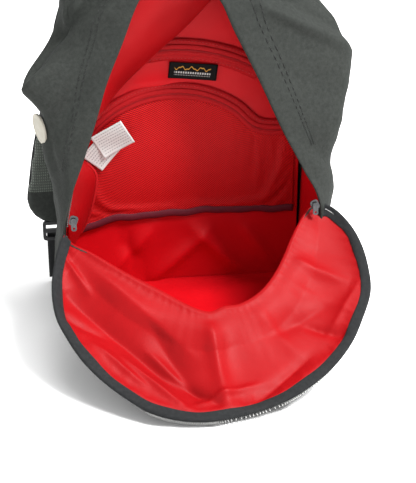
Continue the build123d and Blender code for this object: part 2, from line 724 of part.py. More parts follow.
with BuildPart() as buckle_plug:
    add(buckle_half(True))
save(buckle_plug, "buckle_plug")

with BuildPart() as buckle_socket:
    add(mirror(buckle_half(False), about=Plane.YZ))
save(buckle_socket, "buckle_socket")
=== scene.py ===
# %% [markdown]
# Ski backpack, standing open
# ===========================
# This notebook dresses a plain, exact model of a day pack in cloth, net, webbing and metal.
# The model comes in first, as a fixed frame: every length below is taken from it or from the
# pattern pieces of the pack, in millimetres, and nothing in it is moved.
# A pack is sewn from flat cloth, so nearly every piece here is a sheet that runs between a few
# seam lines. The seam lines are drawn as curves through a handful of points, and the cloth is
# stretched between them, creased, and where it lies loose, let go in a cloth simulation.

# %% The frame
import math

import bpy
import numpy as np
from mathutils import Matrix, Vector
from mathutils.bvhtree import BVHTree


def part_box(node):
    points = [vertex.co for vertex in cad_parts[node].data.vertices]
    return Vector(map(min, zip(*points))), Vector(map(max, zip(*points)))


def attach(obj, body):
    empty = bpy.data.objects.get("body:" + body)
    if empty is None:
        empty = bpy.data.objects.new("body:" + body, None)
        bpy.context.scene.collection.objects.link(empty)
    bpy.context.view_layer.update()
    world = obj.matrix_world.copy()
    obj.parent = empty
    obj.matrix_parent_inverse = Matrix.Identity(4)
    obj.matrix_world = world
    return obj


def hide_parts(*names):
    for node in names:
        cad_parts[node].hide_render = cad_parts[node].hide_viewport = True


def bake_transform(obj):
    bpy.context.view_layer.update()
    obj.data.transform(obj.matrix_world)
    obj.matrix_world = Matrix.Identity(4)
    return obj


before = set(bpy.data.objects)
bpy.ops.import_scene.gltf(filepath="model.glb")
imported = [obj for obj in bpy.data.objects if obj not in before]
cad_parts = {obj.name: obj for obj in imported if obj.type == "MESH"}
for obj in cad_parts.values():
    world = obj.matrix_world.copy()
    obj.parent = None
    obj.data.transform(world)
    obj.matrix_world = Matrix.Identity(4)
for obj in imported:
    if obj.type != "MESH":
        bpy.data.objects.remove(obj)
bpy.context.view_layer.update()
print("nodes in the frame:", len(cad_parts))

MM = 0.001
CHORD_Y = -20  # the straight line that the flap folds about, in front of the middle

# %% [markdown]
# Curves and cloth between them
# -----------------------------
# A seam is a smooth line through a few points, so it is a Catmull-Rom curve: it passes through
# each point that is given, which makes the points easy to choose. A cloth panel is then a grid
# of points, row after row, from one seam to the next. A grid keeps its weave straight, because
# its texture coordinates are the real lengths along its rows and columns.


# %% Seam curves
def mm(*point):
    """A point given in millimetres, in metres."""
    return np.array(point, float) * MM


def through(points, count):
    """count points, evenly spaced in parameter, on a smooth curve through the given ones."""
    p = np.array(points, float)
    p = np.vstack([2 * p[0] - p[1], p, 2 * p[-1] - p[-2]])
    at = np.linspace(0, len(p) - 3 - 1e-9, count)
    i = at.astype(int)
    t = (at - i)[:, None]
    a, b, c, d = p[i], p[i + 1], p[i + 2], p[i + 3]
    return 0.5 * (2 * b + (c - a) * t + (2 * a - 5 * b + 4 * c - d) * t**2 + (3 * b - a - 3 * c + d) * t**3)


def evenly(points, count):
    """The same line, with count points that are evenly spaced along its length."""
    steps = np.linalg.norm(np.diff(points, axis=0), axis=1)
    along = np.concatenate([[0], np.cumsum(steps)])
    want = np.linspace(0, along[-1], count)
    return np.stack([np.interp(want, along, points[:, k]) for k in range(points.shape[1])], axis=1)


def half_round(half_width, depth, height, count):
    """The rounded front of the base, drawn through 13 points from its left end to its right end."""
    turns = np.linspace(-math.pi / 2, math.pi / 2, 13)
    points = [mm(half_width * math.sin(a), CHORD_Y - depth * math.cos(a), height) for a in turns]
    return through(points, count)


def unit(vectors):
    """The same directions, one metre long."""
    return vectors / np.maximum(np.linalg.norm(vectors, axis=-1, keepdims=True), 1e-9)


def running(line):
    """The direction in which a line runs, once for each of its points."""
    return unit(np.gradient(line, axis=0))


def smooth(x, low, high):
    """0 below low, 1 above high, and a smooth step between them."""
    t = np.clip((x - low) / (high - low), 0, 1)
    return t * t * (3 - 2 * t)


def ripples(points, pitch, seed):
    """A soft random wave over the points, about -1 to 1, whose bumps are about pitch metres apart."""
    rng = np.random.default_rng(seed)
    total = np.zeros(len(points))
    for _ in range(9):
        direction = rng.normal(size=3)
        direction *= 2 * math.pi / (pitch * np.linalg.norm(direction) * rng.uniform(0.7, 1.5))
        total += np.sin(points @ direction + rng.uniform(0, 2 * math.pi))
    return total / 4


# %% Cloth grids
def new_mesh(name, vertices, faces):
    """An object in the scene made of these vertices, in metres, and faces."""
    mesh = bpy.data.meshes.new(name)
    mesh.from_pydata([tuple(v) for v in vertices], [], faces)
    mesh.update()
    piece = bpy.data.objects.new(name, mesh)
    bpy.context.scene.collection.objects.link(piece)
    return piece


def points_of(mesh):
    """The vertices of a mesh, as an array of points."""
    return np.array([v.co for v in mesh.vertices])


def set_points(piece, points):
    """Moves the vertices of a piece to these points."""
    piece.data.vertices.foreach_set("co", np.ravel(points))
    piece.data.update()


def shade_smooth(piece):
    """Shades every face of a piece as part of one rounded surface."""
    for polygon in piece.data.polygons:
        polygon.use_smooth = True
    return piece


def cloth(name, rows, closed=False):
    """A sheet through a grid of points, rows[v][u].

    Its texture coordinates are metres along u and v, times ten. Each row of a closed one ends at its start.
    """
    rows = np.asarray(rows, float)
    nv, nu = rows.shape[:2]
    faces = []
    for v in range(nv - 1):
        for u in range(nu - 1 if not closed else nu):
            w = (u + 1) % nu
            faces.append((v * nu + u, v * nu + w, (v + 1) * nu + w, (v + 1) * nu + u))
    piece = shade_smooth(new_mesh(name, rows.reshape(-1, 3), faces))
    across = np.concatenate([[0], np.cumsum(np.linalg.norm(np.diff(rows, axis=1), axis=2).mean(axis=0))])
    along = np.concatenate([[0], np.cumsum(np.linalg.norm(np.diff(rows, axis=0), axis=2).mean(axis=1))])
    layer = piece.data.uv_layers.new(name="Weave")
    for polygon in piece.data.polygons:
        for corner, loop in enumerate(polygon.loop_indices):
            v, u = divmod(polygon.vertices[corner], nu)
            if closed and u == 0 and corner in (1, 2):
                layer.data[loop].uv = (across[-1] * 10, along[v] * 10)
            else:
                layer.data[loop].uv = (across[u] * 10, along[v] * 10)
    return piece


def apply_modifiers(piece):
    """Writes what the modifiers make into the mesh, and takes them away."""
    bpy.context.view_layer.update()
    shape = bpy.data.meshes.new_from_object(piece.evaluated_get(bpy.context.evaluated_depsgraph_get()))
    piece.modifiers.clear()
    piece.data = shape
    return shade_smooth(piece)


def thicken(piece, thickness, side=-1.0, levels=0):
    """Gives a sheet its thickness, on one side of it, and rounds it by levels of subdivision."""
    solid = piece.modifiers.new("thickness", "SOLIDIFY")
    solid.thickness = thickness * MM
    solid.offset = side
    if levels:
        rounding = piece.modifiers.new("rounding", "SUBSURF")
        rounding.levels = rounding.render_levels = levels
    return apply_modifiers(piece)


def normals(rows):
    """The unit normal at each point of a grid, to the side of u x v."""
    return unit(np.cross(np.gradient(rows, axis=1), np.gradient(rows, axis=0)))


def crease(rows, start, end, height, width, sharp=2.0, normal=(0, 0, 0)):
    """How far each point moves for one crease: a ridge that runs from start to end and fades at both.

    A point's distance from the line leaves out what lies along the normal, if one is given.
    """
    start, end = mm(*start), mm(*end)
    run = end - start
    along = np.clip((rows - start) @ run / (run @ run), 0, 1)
    off = rows - (start + along[..., None] * run)
    off = np.linalg.norm(off - (off @ np.array(normal))[..., None] * np.array(normal), axis=-1)
    fade = np.sin(np.clip(along, 0.02, 0.98) * math.pi) ** 0.5
    return height * MM * fade * np.exp(-((off / (width * MM)) ** sharp))


# %% [markdown]
# Letting cloth go
# ----------------
# Wrinkles that are drawn by hand look drawn. Real ones come from cloth that is a little larger
# than the space that it is sewn into, so that is what the simulation gets: the seams are held,
# the cloth between them is made a few percent larger, and it has to fold to fit. Twenty frames
# are enough, and no point may move further than a cap, so that it stays off its neighbours.


# %% Cloth simulation
def capped(move, cap):
    """The same moves, none of them further than cap millimetres."""
    far = np.maximum(np.linalg.norm(move, axis=1, keepdims=True), 1e-9)
    return move * cap * MM * np.tanh(far / (cap * MM)) / far


def let_go(piece, frames, cap):
    """Runs the cloth simulation that a piece has, and gives where its points come to rest."""
    before = points_of(piece.data)
    for number in range(1, frames + 1):
        bpy.context.scene.frame_set(number)
    shape = piece.evaluated_get(bpy.context.evaluated_depsgraph_get()).to_mesh()
    move = capped(points_of(shape) - before, cap)
    piece.modifiers.clear()
    bpy.context.scene.frame_set(1)
    print(f"{piece.name}: cloth moved up to {1000 * np.linalg.norm(move, axis=1).max():.1f} mm")
    return before + move


def crumple(piece, held, extra, cap, frames=20, weight=1.0, stiffness=0.3):
    """Lets a sheet that is a share too large fold between the points that are held (0 to 1 each)."""
    group = piece.vertex_groups.new(name="held")
    for index, share in enumerate(held):
        group.add([index], float(share), "REPLACE")
    fabric = piece.modifiers.new("cloth", "CLOTH")
    fabric.settings.quality = 6
    fabric.settings.mass = 0.15
    fabric.settings.tension_stiffness = 12
    fabric.settings.compression_stiffness = 12
    fabric.settings.shear_stiffness = 4
    fabric.settings.bending_stiffness = stiffness
    fabric.settings.vertex_group_mass = "held"
    fabric.settings.pin_stiffness = 1
    fabric.settings.shrink_min = -extra
    fabric.settings.effector_weights.gravity = weight
    fabric.point_cache.frame_start = 1
    fabric.point_cache.frame_end = frames
    points = let_go(piece, frames, cap)
    piece.vertex_groups.clear()
    set_points(piece, points)


# %% [markdown]
# Finishes as arithmetic
# ----------------------
# A finish is easier to read as a formula than as a net of wires. This class holds one output
# socket of a material, and adding or multiplying two of them adds the Math node that does it.
# Colours go through Mix nodes, so that they keep their hue.


# %% A socket that calculates
class Value:
    """One output socket in a material, for arithmetic."""

    def __init__(self, socket):
        self.socket = socket

    def _math(self, operation, other=None, swap=False):
        tree = self.socket.node.id_data
        node = tree.nodes.new("ShaderNodeMath")
        node.operation = operation
        pair = [self, other]
        if swap:
            pair.reverse()
        for place, item in zip(node.inputs, pair):
            if isinstance(item, Value):
                tree.links.new(item.socket, place)
            elif item is not None:
                place.default_value = item
        return Value(node.outputs[0])

    def __add__(self, other):
        return self._math("ADD", other)

    __radd__ = __add__

    def __sub__(self, other):
        return self._math("SUBTRACT", other)

    def __rsub__(self, other):
        return self._math("SUBTRACT", other, swap=True)

    def __mul__(self, other):
        return self._math("MULTIPLY", other)

    __rmul__ = __mul__

    def __truediv__(self, other):
        return self._math("DIVIDE", other)

    def __gt__(self, other):
        return self._math("GREATER_THAN", other)

    def sine(self):
        return self._math("SINE")

    def size(self):
        return self._math("ABSOLUTE")

    def least(self, other):
        return self._math("MINIMUM", other)

    def most(self, other):
        return self._math("MAXIMUM", other)

    def clamp(self):
        return self.most(0.0).least(1.0)


class Finish:
    """A material under construction, with its shader."""

    def __init__(self, name, **constants):
        self.material = bpy.data.materials.new(name)
        self.material.use_nodes = True
        self.tree = self.material.node_tree
        self.shader = self.tree.nodes["Principled BSDF"]
        self.set(**constants)

    def node(self, kind, settings=None, output=0, **inputs):
        """Adds a node: its settings first, then its sockets as values or links.

        A socket goes by its name with _ for a space, or by its number after an i.
        """
        made = self.tree.nodes.new("ShaderNode" + kind)
        for key, value in (settings or {}).items():
            setattr(made, key, value)
        for key, value in inputs.items():
            numbered = key[0] == "i" and key[1:].isdigit()
            self._feed(made.inputs[int(key[1:]) if numbered else key.replace("_", " ")], value)
        return Value(made.outputs[output])

    def _feed(self, socket, value):
        if isinstance(value, Value):
            self.tree.links.new(value.socket, socket)
        elif isinstance(value, tuple) and len(value) == 3 and socket.type == "RGBA":
            socket.default_value = (*value, 1)
        else:
            socket.default_value = value

    def set(self, **inputs):
        """Sets or links sockets of the shader."""
        for key, value in inputs.items():
            self._feed(self.shader.inputs[key.replace("_", " ")], value)
        return self

    def mix(self, factor, first, second):
        """The first colour where factor is 0 and the second where it is 1."""
        return self.node("Mix", {"data_type": "RGBA"}, output=2, i0=factor, i6=first, i7=second)

    def bump(self, height, strength, distance):
        """Raises the surface by a height of 0 to 1, distance being its size in metres."""
        normal = self.node("Bump", Strength=strength, Distance=distance, Height=height)
        return self.set(Normal=normal)

    def weave(self):
        """The two weave directions, in metres along the cloth, from its texture coordinates."""
        split = self.node("SeparateXYZ", Vector=self.node("TexCoord", output=2))
        other = Value(split.socket.node.outputs[1])
        return split / 10.0, other / 10.0

    def noise(self, scale, detail=3.0, roughness=0.5):
        """Noise in object space, whose grains are about 1/scale metres across."""
        place = self.node("TexCoord", output=3)
        return self.node("TexNoise", Vector=place, Scale=float(scale), Detail=detail, Roughness=roughness)


def wear(piece, finish, body=None, instead_of=()):
    """Gives a piece its finish, the body it rides on and the plain nodes that it stands for."""
    piece.data.materials.clear()
    piece.data.materials.append(finish.material)
    if instead_of:
        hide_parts(*instead_of)
    if body:
        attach(piece, body)
    return piece


# %% [markdown]
# The cloths
# ----------
# The outside is a dark grey polyester twill with a matt coating. Close up it is a fine two-tone
# weave, and from a distance it is an even charcoal that greys where it catches the light. The
# lining is a thin, shiny red nylon. Both weaves are sine waves along the two thread directions,
# since the texture coordinates of every panel are real lengths.


# %% Outside cloth
MOTTLE = 0.35  # how far broad patches of a cloth differ in tone


def woven(name, dark, light, pitch, roughness, depth, **more):
    """A plain weave of two tones, with threads pitch millimetres apart."""
    f = Finish(name, **more)
    u, v = f.weave()
    turn = 2 * math.pi / (pitch * MM)
    warp = (u * turn).sine() * 0.5 + 0.5
    weft = (v * turn).sine() * 0.5 + 0.5
    over = warp * (1 - weft) + weft * (1 - warp)
    cloud = f.noise(9.0, 4.0, 0.6)
    grain = f.noise(900.0, 2.0, 0.7)
    fleck = f.noise(260.0, 3.0, 0.7)
    tone = (over * 0.3 + grain * 0.2 + (fleck - 0.5) * 0.8 + (cloud - 0.5) * MOTTLE + 0.25).clamp()
    f.set(Base_Color=f.mix(tone, dark, light), Roughness=(grain * 0.15 + roughness).clamp())
    f.bump(over * 0.4 + grain * 0.2 + fleck * 0.6, 0.5, depth * MM)
    return f


pack_cloth = woven(
    "charcoal_twill", (0.006, 0.0072, 0.0064), (0.043, 0.047, 0.0425), 1.1, 0.74, 0.5, Specular_IOR_Level=0.14
)
grey_tape = woven(
    "zip_tape_grey", (0.004, 0.0045, 0.005), (0.026, 0.027, 0.028), 1.6, 0.8, 0.5, Specular_IOR_Level=0.14
)
webbing_cloth = woven(
    "black_webbing", (0.004, 0.004, 0.0045), (0.022, 0.023, 0.024), 2.2, 0.6, 0.5, Specular_IOR_Level=0.2
)
red_tape = woven(
    "red_zip_tape", (0.24, 0.002, 0.004), (0.44, 0.006, 0.009), 1.3, 0.6, 0.3, Specular_IOR_Level=0.15
)
purple_tape = woven(
    "dark_red_binding", (0.05, 0.003, 0.008), (0.14, 0.010, 0.022), 1.3, 0.6, 0.3, Specular_IOR_Level=0.25
)


# %% Red lining
def shiny_lining(name, dark, light, roughness):
    """Thin nylon: an even red, glossier along its folds, with a fine crinkle."""
    f = Finish(name, Specular_IOR_Level=0.12)
    u, v = f.weave()
    cloud = f.noise(14.0, 4.0, 0.55)
    crinkle = f.noise(70.0, 5.0, 0.6)
    turn = 2 * math.pi / (0.8 * MM)
    thread = (u * turn).sine() * (v * turn).sine()
    tone = (cloud * 0.8 + thread * 0.06 + 0.1).clamp()
    f.set(Base_Color=f.mix(tone, dark, light), Roughness=(crinkle * 0.2 + roughness).clamp())
    f.bump(crinkle + thread * 0.05, 0.25, 1.2 * MM)
    return f


# Two copies of one red nylon: the copy for the side, back and floor linings is painted much brighter than the
# copy on the flap and front wall, as painted light against the shade inside the pack.
lining = shiny_lining("red_nylon", (0.20, 0.0010, 0.0022), (0.30, 0.0018, 0.0036), 0.42)
inside_lining_painted_bright = shiny_lining("red_nylon_inside_painted_bright", (0.38, 0.0014, 0.0040), (0.56, 0.0040, 0.0090), 0.34)


# %% Net, spacer mesh, thread, metal and plastic
def net_finish():
    """A fine red net on the slant, with the lining showing in its holes, painted much darker as shade under
    the net.
    """
    f = Finish("red_net", Specular_IOR_Level=0.12)
    u, v = f.weave()
    across, along = u * (2 * math.pi / (6.4 * MM)), v * (2 * math.pi / (4.6 * MM))
    one = (across + along).sine()
    two = (across - along).sine()
    shaded_hole = (one.size().most(two.size() * 0.85) * 3.2 - 1.9).clamp()
    cloud = f.noise(16.0, 3.0, 0.5)
    thread = f.mix(cloud, (0.50, 0.003, 0.005), (0.70, 0.008, 0.010))
    # The hole colour is the red lining behind the net, painted much darker than the lining itself as painted
    # shade under the net.
    f.set(Base_Color=f.mix(shaded_hole, (0.10, 0.0003, 0.001), thread), Roughness=0.5)
    f.bump(shaded_hole, 0.6, 0.5 * MM)
    return f


def spacer_finish():
    """Grey-green spacer mesh with ribs across it and small pores."""
    f = Finish("grey_spacer_mesh", Specular_IOR_Level=0.3, Sheen_Weight=0.2)
    u, v = f.weave()
    rib = (v * (2 * math.pi / (3.4 * MM))).sine() * 0.5 + 0.5
    pore = ((u * (2 * math.pi / (2.4 * MM))).sine() * 0.5 + 0.5) * rib
    grain = f.noise(600.0, 2.0, 0.6)
    tone = (pore * 0.7 + grain * 0.3).clamp()
    f.set(Base_Color=f.mix(tone, (0.022, 0.026, 0.022), (0.13, 0.148, 0.125)), Roughness=0.85)
    f.bump(pore * 0.8 + grain * 0.2, 0.8, 1.0 * MM)
    return f


def thread_finish(name, colour):
    """Sewing thread: a twisted strand, lit along its turns."""
    f = Finish(name, Roughness=0.6)
    grain = f.noise(2500.0, 2.0, 0.5)
    f.set(Base_Color=f.mix(grain, tuple(c * 0.6 for c in colour), colour))
    f.bump(grain, 0.5, 0.2 * MM)
    return f


def metal_finish():
    """Dark plated zinc, with fine scratches that blur its shine."""
    f = Finish("plated_metal", Metallic=1.0)
    scratch = f.noise(1400.0, 4.0, 0.7)
    cloud = f.noise(180.0, 3.0, 0.5)
    f.set(Base_Color=f.mix(cloud, (0.05, 0.05, 0.053), (0.13, 0.13, 0.135)), Roughness=scratch * 0.3 + 0.2)
    f.bump(scratch, 0.1, 0.1 * MM)
    return f


def teeth_finish():
    """Moulded zip teeth with a silver colour, darker in the gaps between them."""
    f = Finish("silver_teeth", Metallic=0.55, Specular_IOR_Level=0.5)
    grain = f.noise(700.0, 3.0, 0.6)
    f.set(Base_Color=f.mix(grain, (0.07, 0.07, 0.07), (0.26, 0.26, 0.25)), Roughness=grain * 0.2 + 0.3)
    f.bump(grain, 0.15, 0.1 * MM)
    return f


def plastic_finish(name, dark, light, shine=0.45):
    """Moulded plastic with the fine spark-eroded grain of its mould."""
    f = Finish(name, Specular_IOR_Level=shine)
    grain = f.noise(1600.0, 3.0, 0.6)
    cloud = f.noise(60.0, 3.0, 0.5)
    f.set(Base_Color=f.mix(cloud, dark, light), Roughness=grain * 0.2 + 0.42)
    f.bump(grain, 0.25, 0.12 * MM)
    return f


net = net_finish()
spacer = spacer_finish()
dark_thread = thread_finish("dark_thread", (0.004, 0.004, 0.004))
red_thread = thread_finish("red_thread", (0.40, 0.01, 0.012))
metal = metal_finish()
teeth_metal = teeth_finish()
black_plastic = plastic_finish("black_plastic", (0.010, 0.010, 0.011), (0.030, 0.030, 0.032))
cream_plastic = plastic_finish("cream_badge", (0.27, 0.25, 0.20), (0.42, 0.40, 0.34))
red_coil = plastic_finish("red_zip_coil", (0.16, 0.001, 0.003), (0.28, 0.004, 0.006), 0.12)
print("finishes:", len(bpy.data.materials))

# %% [markdown]
# The camera, the floor and the light
# -----------------------------------
# The pack is looked down on from in front, a little from its left, from 1.4 m away. The light is
# a studio's: one large soft lamp high on the right, a wide one overhead, a weak one on the left,
# and pale walls all round. The floor is as pale, so that it hardly shows where it ends.


# %% Camera
AZIMUTH, ELEVATION, DISTANCE = math.radians(-9.5), math.radians(25), 1.4
aim = Vector(mm(16.6, 0, 95))
level = math.cos(ELEVATION)
back = Vector((math.sin(AZIMUTH) * level, -math.cos(AZIMUTH) * level, math.sin(ELEVATION)))
camera = bpy.data.objects.new("camera", bpy.data.cameras.new("camera"))
bpy.context.scene.collection.objects.link(camera)
camera.data.lens = 92.3
camera.location = aim + back * DISTANCE
camera.rotation_euler = (-back).to_track_quat("-Z", "Y").to_euler()
bpy.context.scene.camera = camera


# %% Floor and lamps
FLOOR = 9000  # half the floor's side, large enough to run out of every view
corners = [mm(x, y, 0) for x, y in ((-FLOOR, -FLOOR), (FLOOR, -FLOOR), (FLOOR, FLOOR), (-FLOOR, FLOOR))]
floor = new_mesh("floor", corners, [(0, 1, 2, 3)])
white = Finish("pale_floor", Roughness=0.9)
white.set(Base_Color=white.mix(white.noise(2.0), (0.95, 0.95, 0.95), (0.97, 0.97, 0.97)))
floor.data.materials.append(white.material)


def lamp(name, place, target, size, power):
    """A square soft lamp at place, shining at target, both in millimetres."""
    light = bpy.data.lights.new(name, "AREA")
    light.size = size * MM
    light.energy = power
    holder = bpy.data.objects.new(name, light)
    bpy.context.scene.collection.objects.link(holder)
    holder.location = mm(*place)
    holder.rotation_euler = (Vector(mm(*target)) - holder.location).to_track_quat("-Z", "Y").to_euler()


lamp("key", (3600, -2600, 6000), (0, -60, 100), 2200, 1050)
lamp("fill", (-4500, -4000, 2500), (0, 0, 150), 3000, 55)
lamp("top", (900, 600, 6000), (0, 0, 200), 4000, 260)
world = bpy.data.worlds.new("studio")
world.use_nodes = True
world.node_tree.nodes["Background"].inputs["Color"].default_value = (1, 1, 1, 1)
world.node_tree.nodes["Background"].inputs["Strength"].default_value = 0.72
bpy.context.scene.world = world
bpy.context.scene.view_settings.view_transform = "Standard"

# %% [markdown]
# The body of the pack
# --------------------
# One long strip of cloth makes both sides and the top. It runs from the base on the left, up
# round the opening and down to the base on the right. Three lines shape it: the edge of the
# opening, the knee where the cloth turns from the front to the side, and the seam with the
# back. They are drawn through the same stations, so that each station is one cross-section.

# %% Stations of the side strip
# edge of the opening, knee, seam with the back
STATIONS = [
    ((-141, -20, 3), (-152, 35, 3), (-141, 91, 3)),
    ((-142, -20, 66), (-158, 32, 66), (-142, 91, 66)),
    ((-146, -20, 123), (-152, 26, 123), (-142, 91, 123)),
    ((-137, -14, 163), (-162, 20, 163), (-142, 91, 163)),
    ((-120, -7, 205), (-179, 14, 205), (-142, 91, 205)),
    ((-104, 0, 247), (-186, 14, 245), (-142, 91, 247)),
    ((-91, 6, 285), (-218, 22, 278), (-142, 91, 290)),
    ((-73, 13, 325), (-152, 34, 318), (-135, 91, 335)),
    ((-53, 20, 369), (-165, 38, 372), (-112, 91, 384)),
    ((-32, 24, 388), (-66, 38, 426), (-62, 91, 421)),
    ((-10, 27, 393), (0, 38, 441), (0, 91, 436)),
    ((12, 25, 386), (66, 38, 426), (62, 91, 421)),
    ((33, 19, 366), (160, 38, 370), (112, 91, 384)),
    ((48, 14, 333), (224, 34, 330), (135, 91, 338)),
    ((74, 5, 280), (226, 24, 285), (142, 91, 290)),
    ((99, -4, 225), (202, 14, 228), (142, 91, 230)),
    ((122, -11, 181), (186, 18, 185), (142, 91, 182)),
    ((141, -19, 140), (181, 24, 140), (142, 91, 137)),
    ((142, -20, 66), (168, 30, 66), (142, 91, 66)),
    ((141, -20, 3), (150, 35, 3), (141, 91, 3)),
]
ALONG, ACROSS = 240, 64
edges, knees, seams = (through([mm(*station[k]) for station in STATIONS], ALONG) for k in range(3))


def strip_point(t):
    """The strip's line at a share t of the way from the opening's edge to the back."""
    reach = edges + (knees - edges) * 0.9
    turn = seams + (knees - seams) * 0.75
    return (1 - t) ** 3 * edges + 3 * (1 - t) ** 2 * t * reach + 3 * (1 - t) * t * t * turn + t**3 * seams


def body_folds(rows):
    """How far the strip's cloth stands in (-) or out (+) at each point, in metres."""
    x, z = rows[..., 0] / MM, rows[..., 2] / MM
    # Above a slanting line on each side the cloth falls back, and the line becomes a soft ridge.
    left = smooth((z - 366) * 0.74 - (x + 78) * 0.67, 0, 16) * smooth(-x, 70, 92)
    right = smooth((z - 366) * 0.86 + (x - 62) * 0.50, 0, 22) * smooth(x, 66, 96)
    move = -17 * MM * left - 13 * MM * right
    for start, end, height, width in (
        ((-76, 12, 366), (-190, 24, 266), 8, 7),
        ((-100, 30, 390), (-170, 40, 300), 7, 6),
        ((-90, 40, 400), (-150, 60, 330), 8, 7),
        ((-104, 4, 300), (-168, 10, 210), -6, 11),
        ((-140, 0, 160), (-170, 30, 250), -6, 11),
        ((-132, -8, 190), (-158, 60, 110), 4, 12),
        ((-145, 10, 40), (-152, 70, 110), 3, 14),
        ((66, 16, 366), (196, 34, 300), 7, 8),
        ((110, 20, 392), (196, 44, 332), -4, 10),
        ((90, 4, 290), (186, 26, 250), -3, 18),
        ((120, 0, 210), (176, 30, 165), -4, 14),
        ((130, -6, 190), (168, 40, 120), 4, 12),
        ((140, 10, 90), (150, 70, 200), 3, 16),
    ):
        move = move + crease(rows, start, end, height, width)
    flat = rows.reshape(-1, 3)
    free = np.sin(np.linspace(0, 1, ACROSS) * math.pi)[:, None]
    move = move + free * 2.4 * MM * ripples(flat, 0.075, 3).reshape(move.shape)
    move = move + free * 0.5 * MM * ripples(flat, 0.022, 5).reshape(move.shape)
    return move


strip = np.array([strip_point(t) for t in np.linspace(0, 1, ACROSS) ** 1.15])
outward = -normals(strip)
if outward[ACROSS // 2, 30, 0] > 0:
    outward = -outward
share = np.linspace(0, 1, ACROSS)
ease = (smooth(share, 0, 0.10) * (1 - smooth(share, 0.66, 0.94)))[:, None]
strip = strip + outward * (body_folds(strip) * ease)[..., None]
print("side strip: from", *np.round([strip[..., 0].min() / MM, strip[..., 0].max() / MM]), "mm across")

# %% [markdown]
# Hems and layers
# ---------------
# The outside cloth is folded in behind the edge of the opening, and the zip is sewn to that
# fold, so its teeth hide behind the edge when the pack hangs open. The lining follows the cloth
# a few millimetres inside it.

# %% Shell and lining of the strip
HEM = 17
HEM_STEPS = np.linspace(1, 0.15, 9)
spread = np.linalg.norm(strip[1:] - strip[:-1], axis=2).cumsum(axis=0)
reach = spread.mean(axis=1)
behind = np.array([strip[int(np.argmin(abs(reach - HEM * MM * t))) + 1] for t in HEM_STEPS])
tuck = np.array([2.6 * math.sin(min(t * 5, 1) * math.pi / 2) for t in HEM_STEPS])[:, None, None]
shell_rows = np.concatenate([behind - outward[2] * tuck * MM, [strip[0] - outward[2] * 0.9 * MM], strip])
shell = cloth("side_strip_shell", shell_rows)
thicken(shell, 1.2, 0.0)
shell_nodes = ("shell_side_left", "shell_side_right", "shell_top", "zip_tape_body")
wear(shell, pack_cloth, "pack", shell_nodes)

inner = strip - outward * 4.2 * MM
side_lining = cloth("side_strip_lining", inner[3:-3])
thicken(side_lining, 0.5)
lining_nodes = ("lining_side_left", "lining_side_right", "lining_top")
wear(side_lining, inside_lining_painted_bright, "pack", lining_nodes)


# %% [markdown]
# The front: wall, fold and flap
# ------------------------------
# The front is one panel too. It rises from the base as a slack wall, rolls outwards over a soft
# fold, and lies down as the flap. When the zip closes, the flap swings up about the line between
# the zip's two ends and the wall straightens behind it, so the whole front is one sheet whose
# lower part stays with the body and whose upper part goes with the flap.

# %% Lines of the front
U = 150
foot_line = half_round(142, 92, 3, U)
fold_line = evenly(through([mm(*p) for p in (
    (-146, -20, 126), (-136, -36, 121), (-116, -48, 114), (-81, -73, 99), (-47, -95, 86), (-22, -112, 76),
    (-2, -120, 71), (14, -116, 74), (32, -115, 75), (54, -105, 81), (73, -88, 91), (89, -66, 103),
    (101, -47, 114), (114, -29, 125), (128, -13, 134), (140, -10, 137),
)], 400), U)
rim_line = evenly(through([mm(*p) for p in (
    (-148, -24, 128), (-157, -46, 115), (-165, -80, 95), (-164, -112, 77), (-156, -134, 64), (-142, -160, 49),
    (-124, -182, 36), (-101, -203, 24), (-78, -219, 15), (-50, -228, 9), (-20, -232, 7), (10, -230, 8),
    (42, -224, 11), (75, -214, 18), (111, -194, 29), (141, -168, 44), (161, -141, 60), (177, -112, 77),
    (181, -81, 95), (179, -55, 110), (172, -33, 122), (159, -15, 133), (143, -9, 139),
)], 600), U)
flap_middle = mm(0, -110, 78)
cloth_edge = rim_line + unit(flap_middle - rim_line) * 3.5 * MM
middle_weight = np.sqrt(np.clip(1 - np.linspace(-1, 1, U) ** 2, 0, 1))[:, None]


# %% Rows of the front
WALL_STEPS = np.concatenate([np.linspace(0, 0.6, 8), np.linspace(0.64, 1, 18)[:-1]])
FLAP_STEPS = np.linspace(0, 1, 60)
FOLD_ROW = len(WALL_STEPS)
FLAP_UP = np.array([0, -0.5, 0.866])


def front_rows():
    """Rows from the foot of the wall, over the fold, to the flap's rim."""
    rows = []
    toward = np.stack([-foot_line[:, 0], CHORD_Y * MM - foot_line[:, 1], np.zeros(U)], axis=1)
    for t in WALL_STEPS:
        slump = math.sin(t * math.pi) * 16 * MM * middle_weight
        rows.append(foot_line + (fold_line - foot_line) * t + unit(toward) * slump)
    for t in FLAP_STEPS:
        roll = math.exp(-((t / 0.05) ** 2)) * 1.5 * MM
        sag = math.sin(t * math.pi) * 7 * MM * middle_weight
        hump = math.sin(min(t / 0.35, 1) * math.pi) * 5 * MM * middle_weight
        rows.append(fold_line + (cloth_edge - fold_line) * t + FLAP_UP * (hump - sag - roll))
    return np.array(rows)


front = front_rows()
whole = cloth("front_lining", front)
held = np.ones(front.shape[:2])
held[FOLD_ROW + 3:-6, 4:-4] = 0
held[2:FOLD_ROW - 2, 6:-6] = 0.35
crumple(whole, held.ravel(), 0.028, 5, frames=20, stiffness=1.5)
front = points_of(whole.data).reshape(front.shape)
bpy.data.objects.remove(whole)
up = normals(front)
if up[40, U // 2] @ FLAP_UP < 0:
    up = -up
flap_part = np.zeros(front.shape[:2])
flap_part[FOLD_ROW:] = (smooth(FLAP_STEPS, 0.04, 0.22) * (1 - smooth(FLAP_STEPS, 0.86, 1)))[:, None]
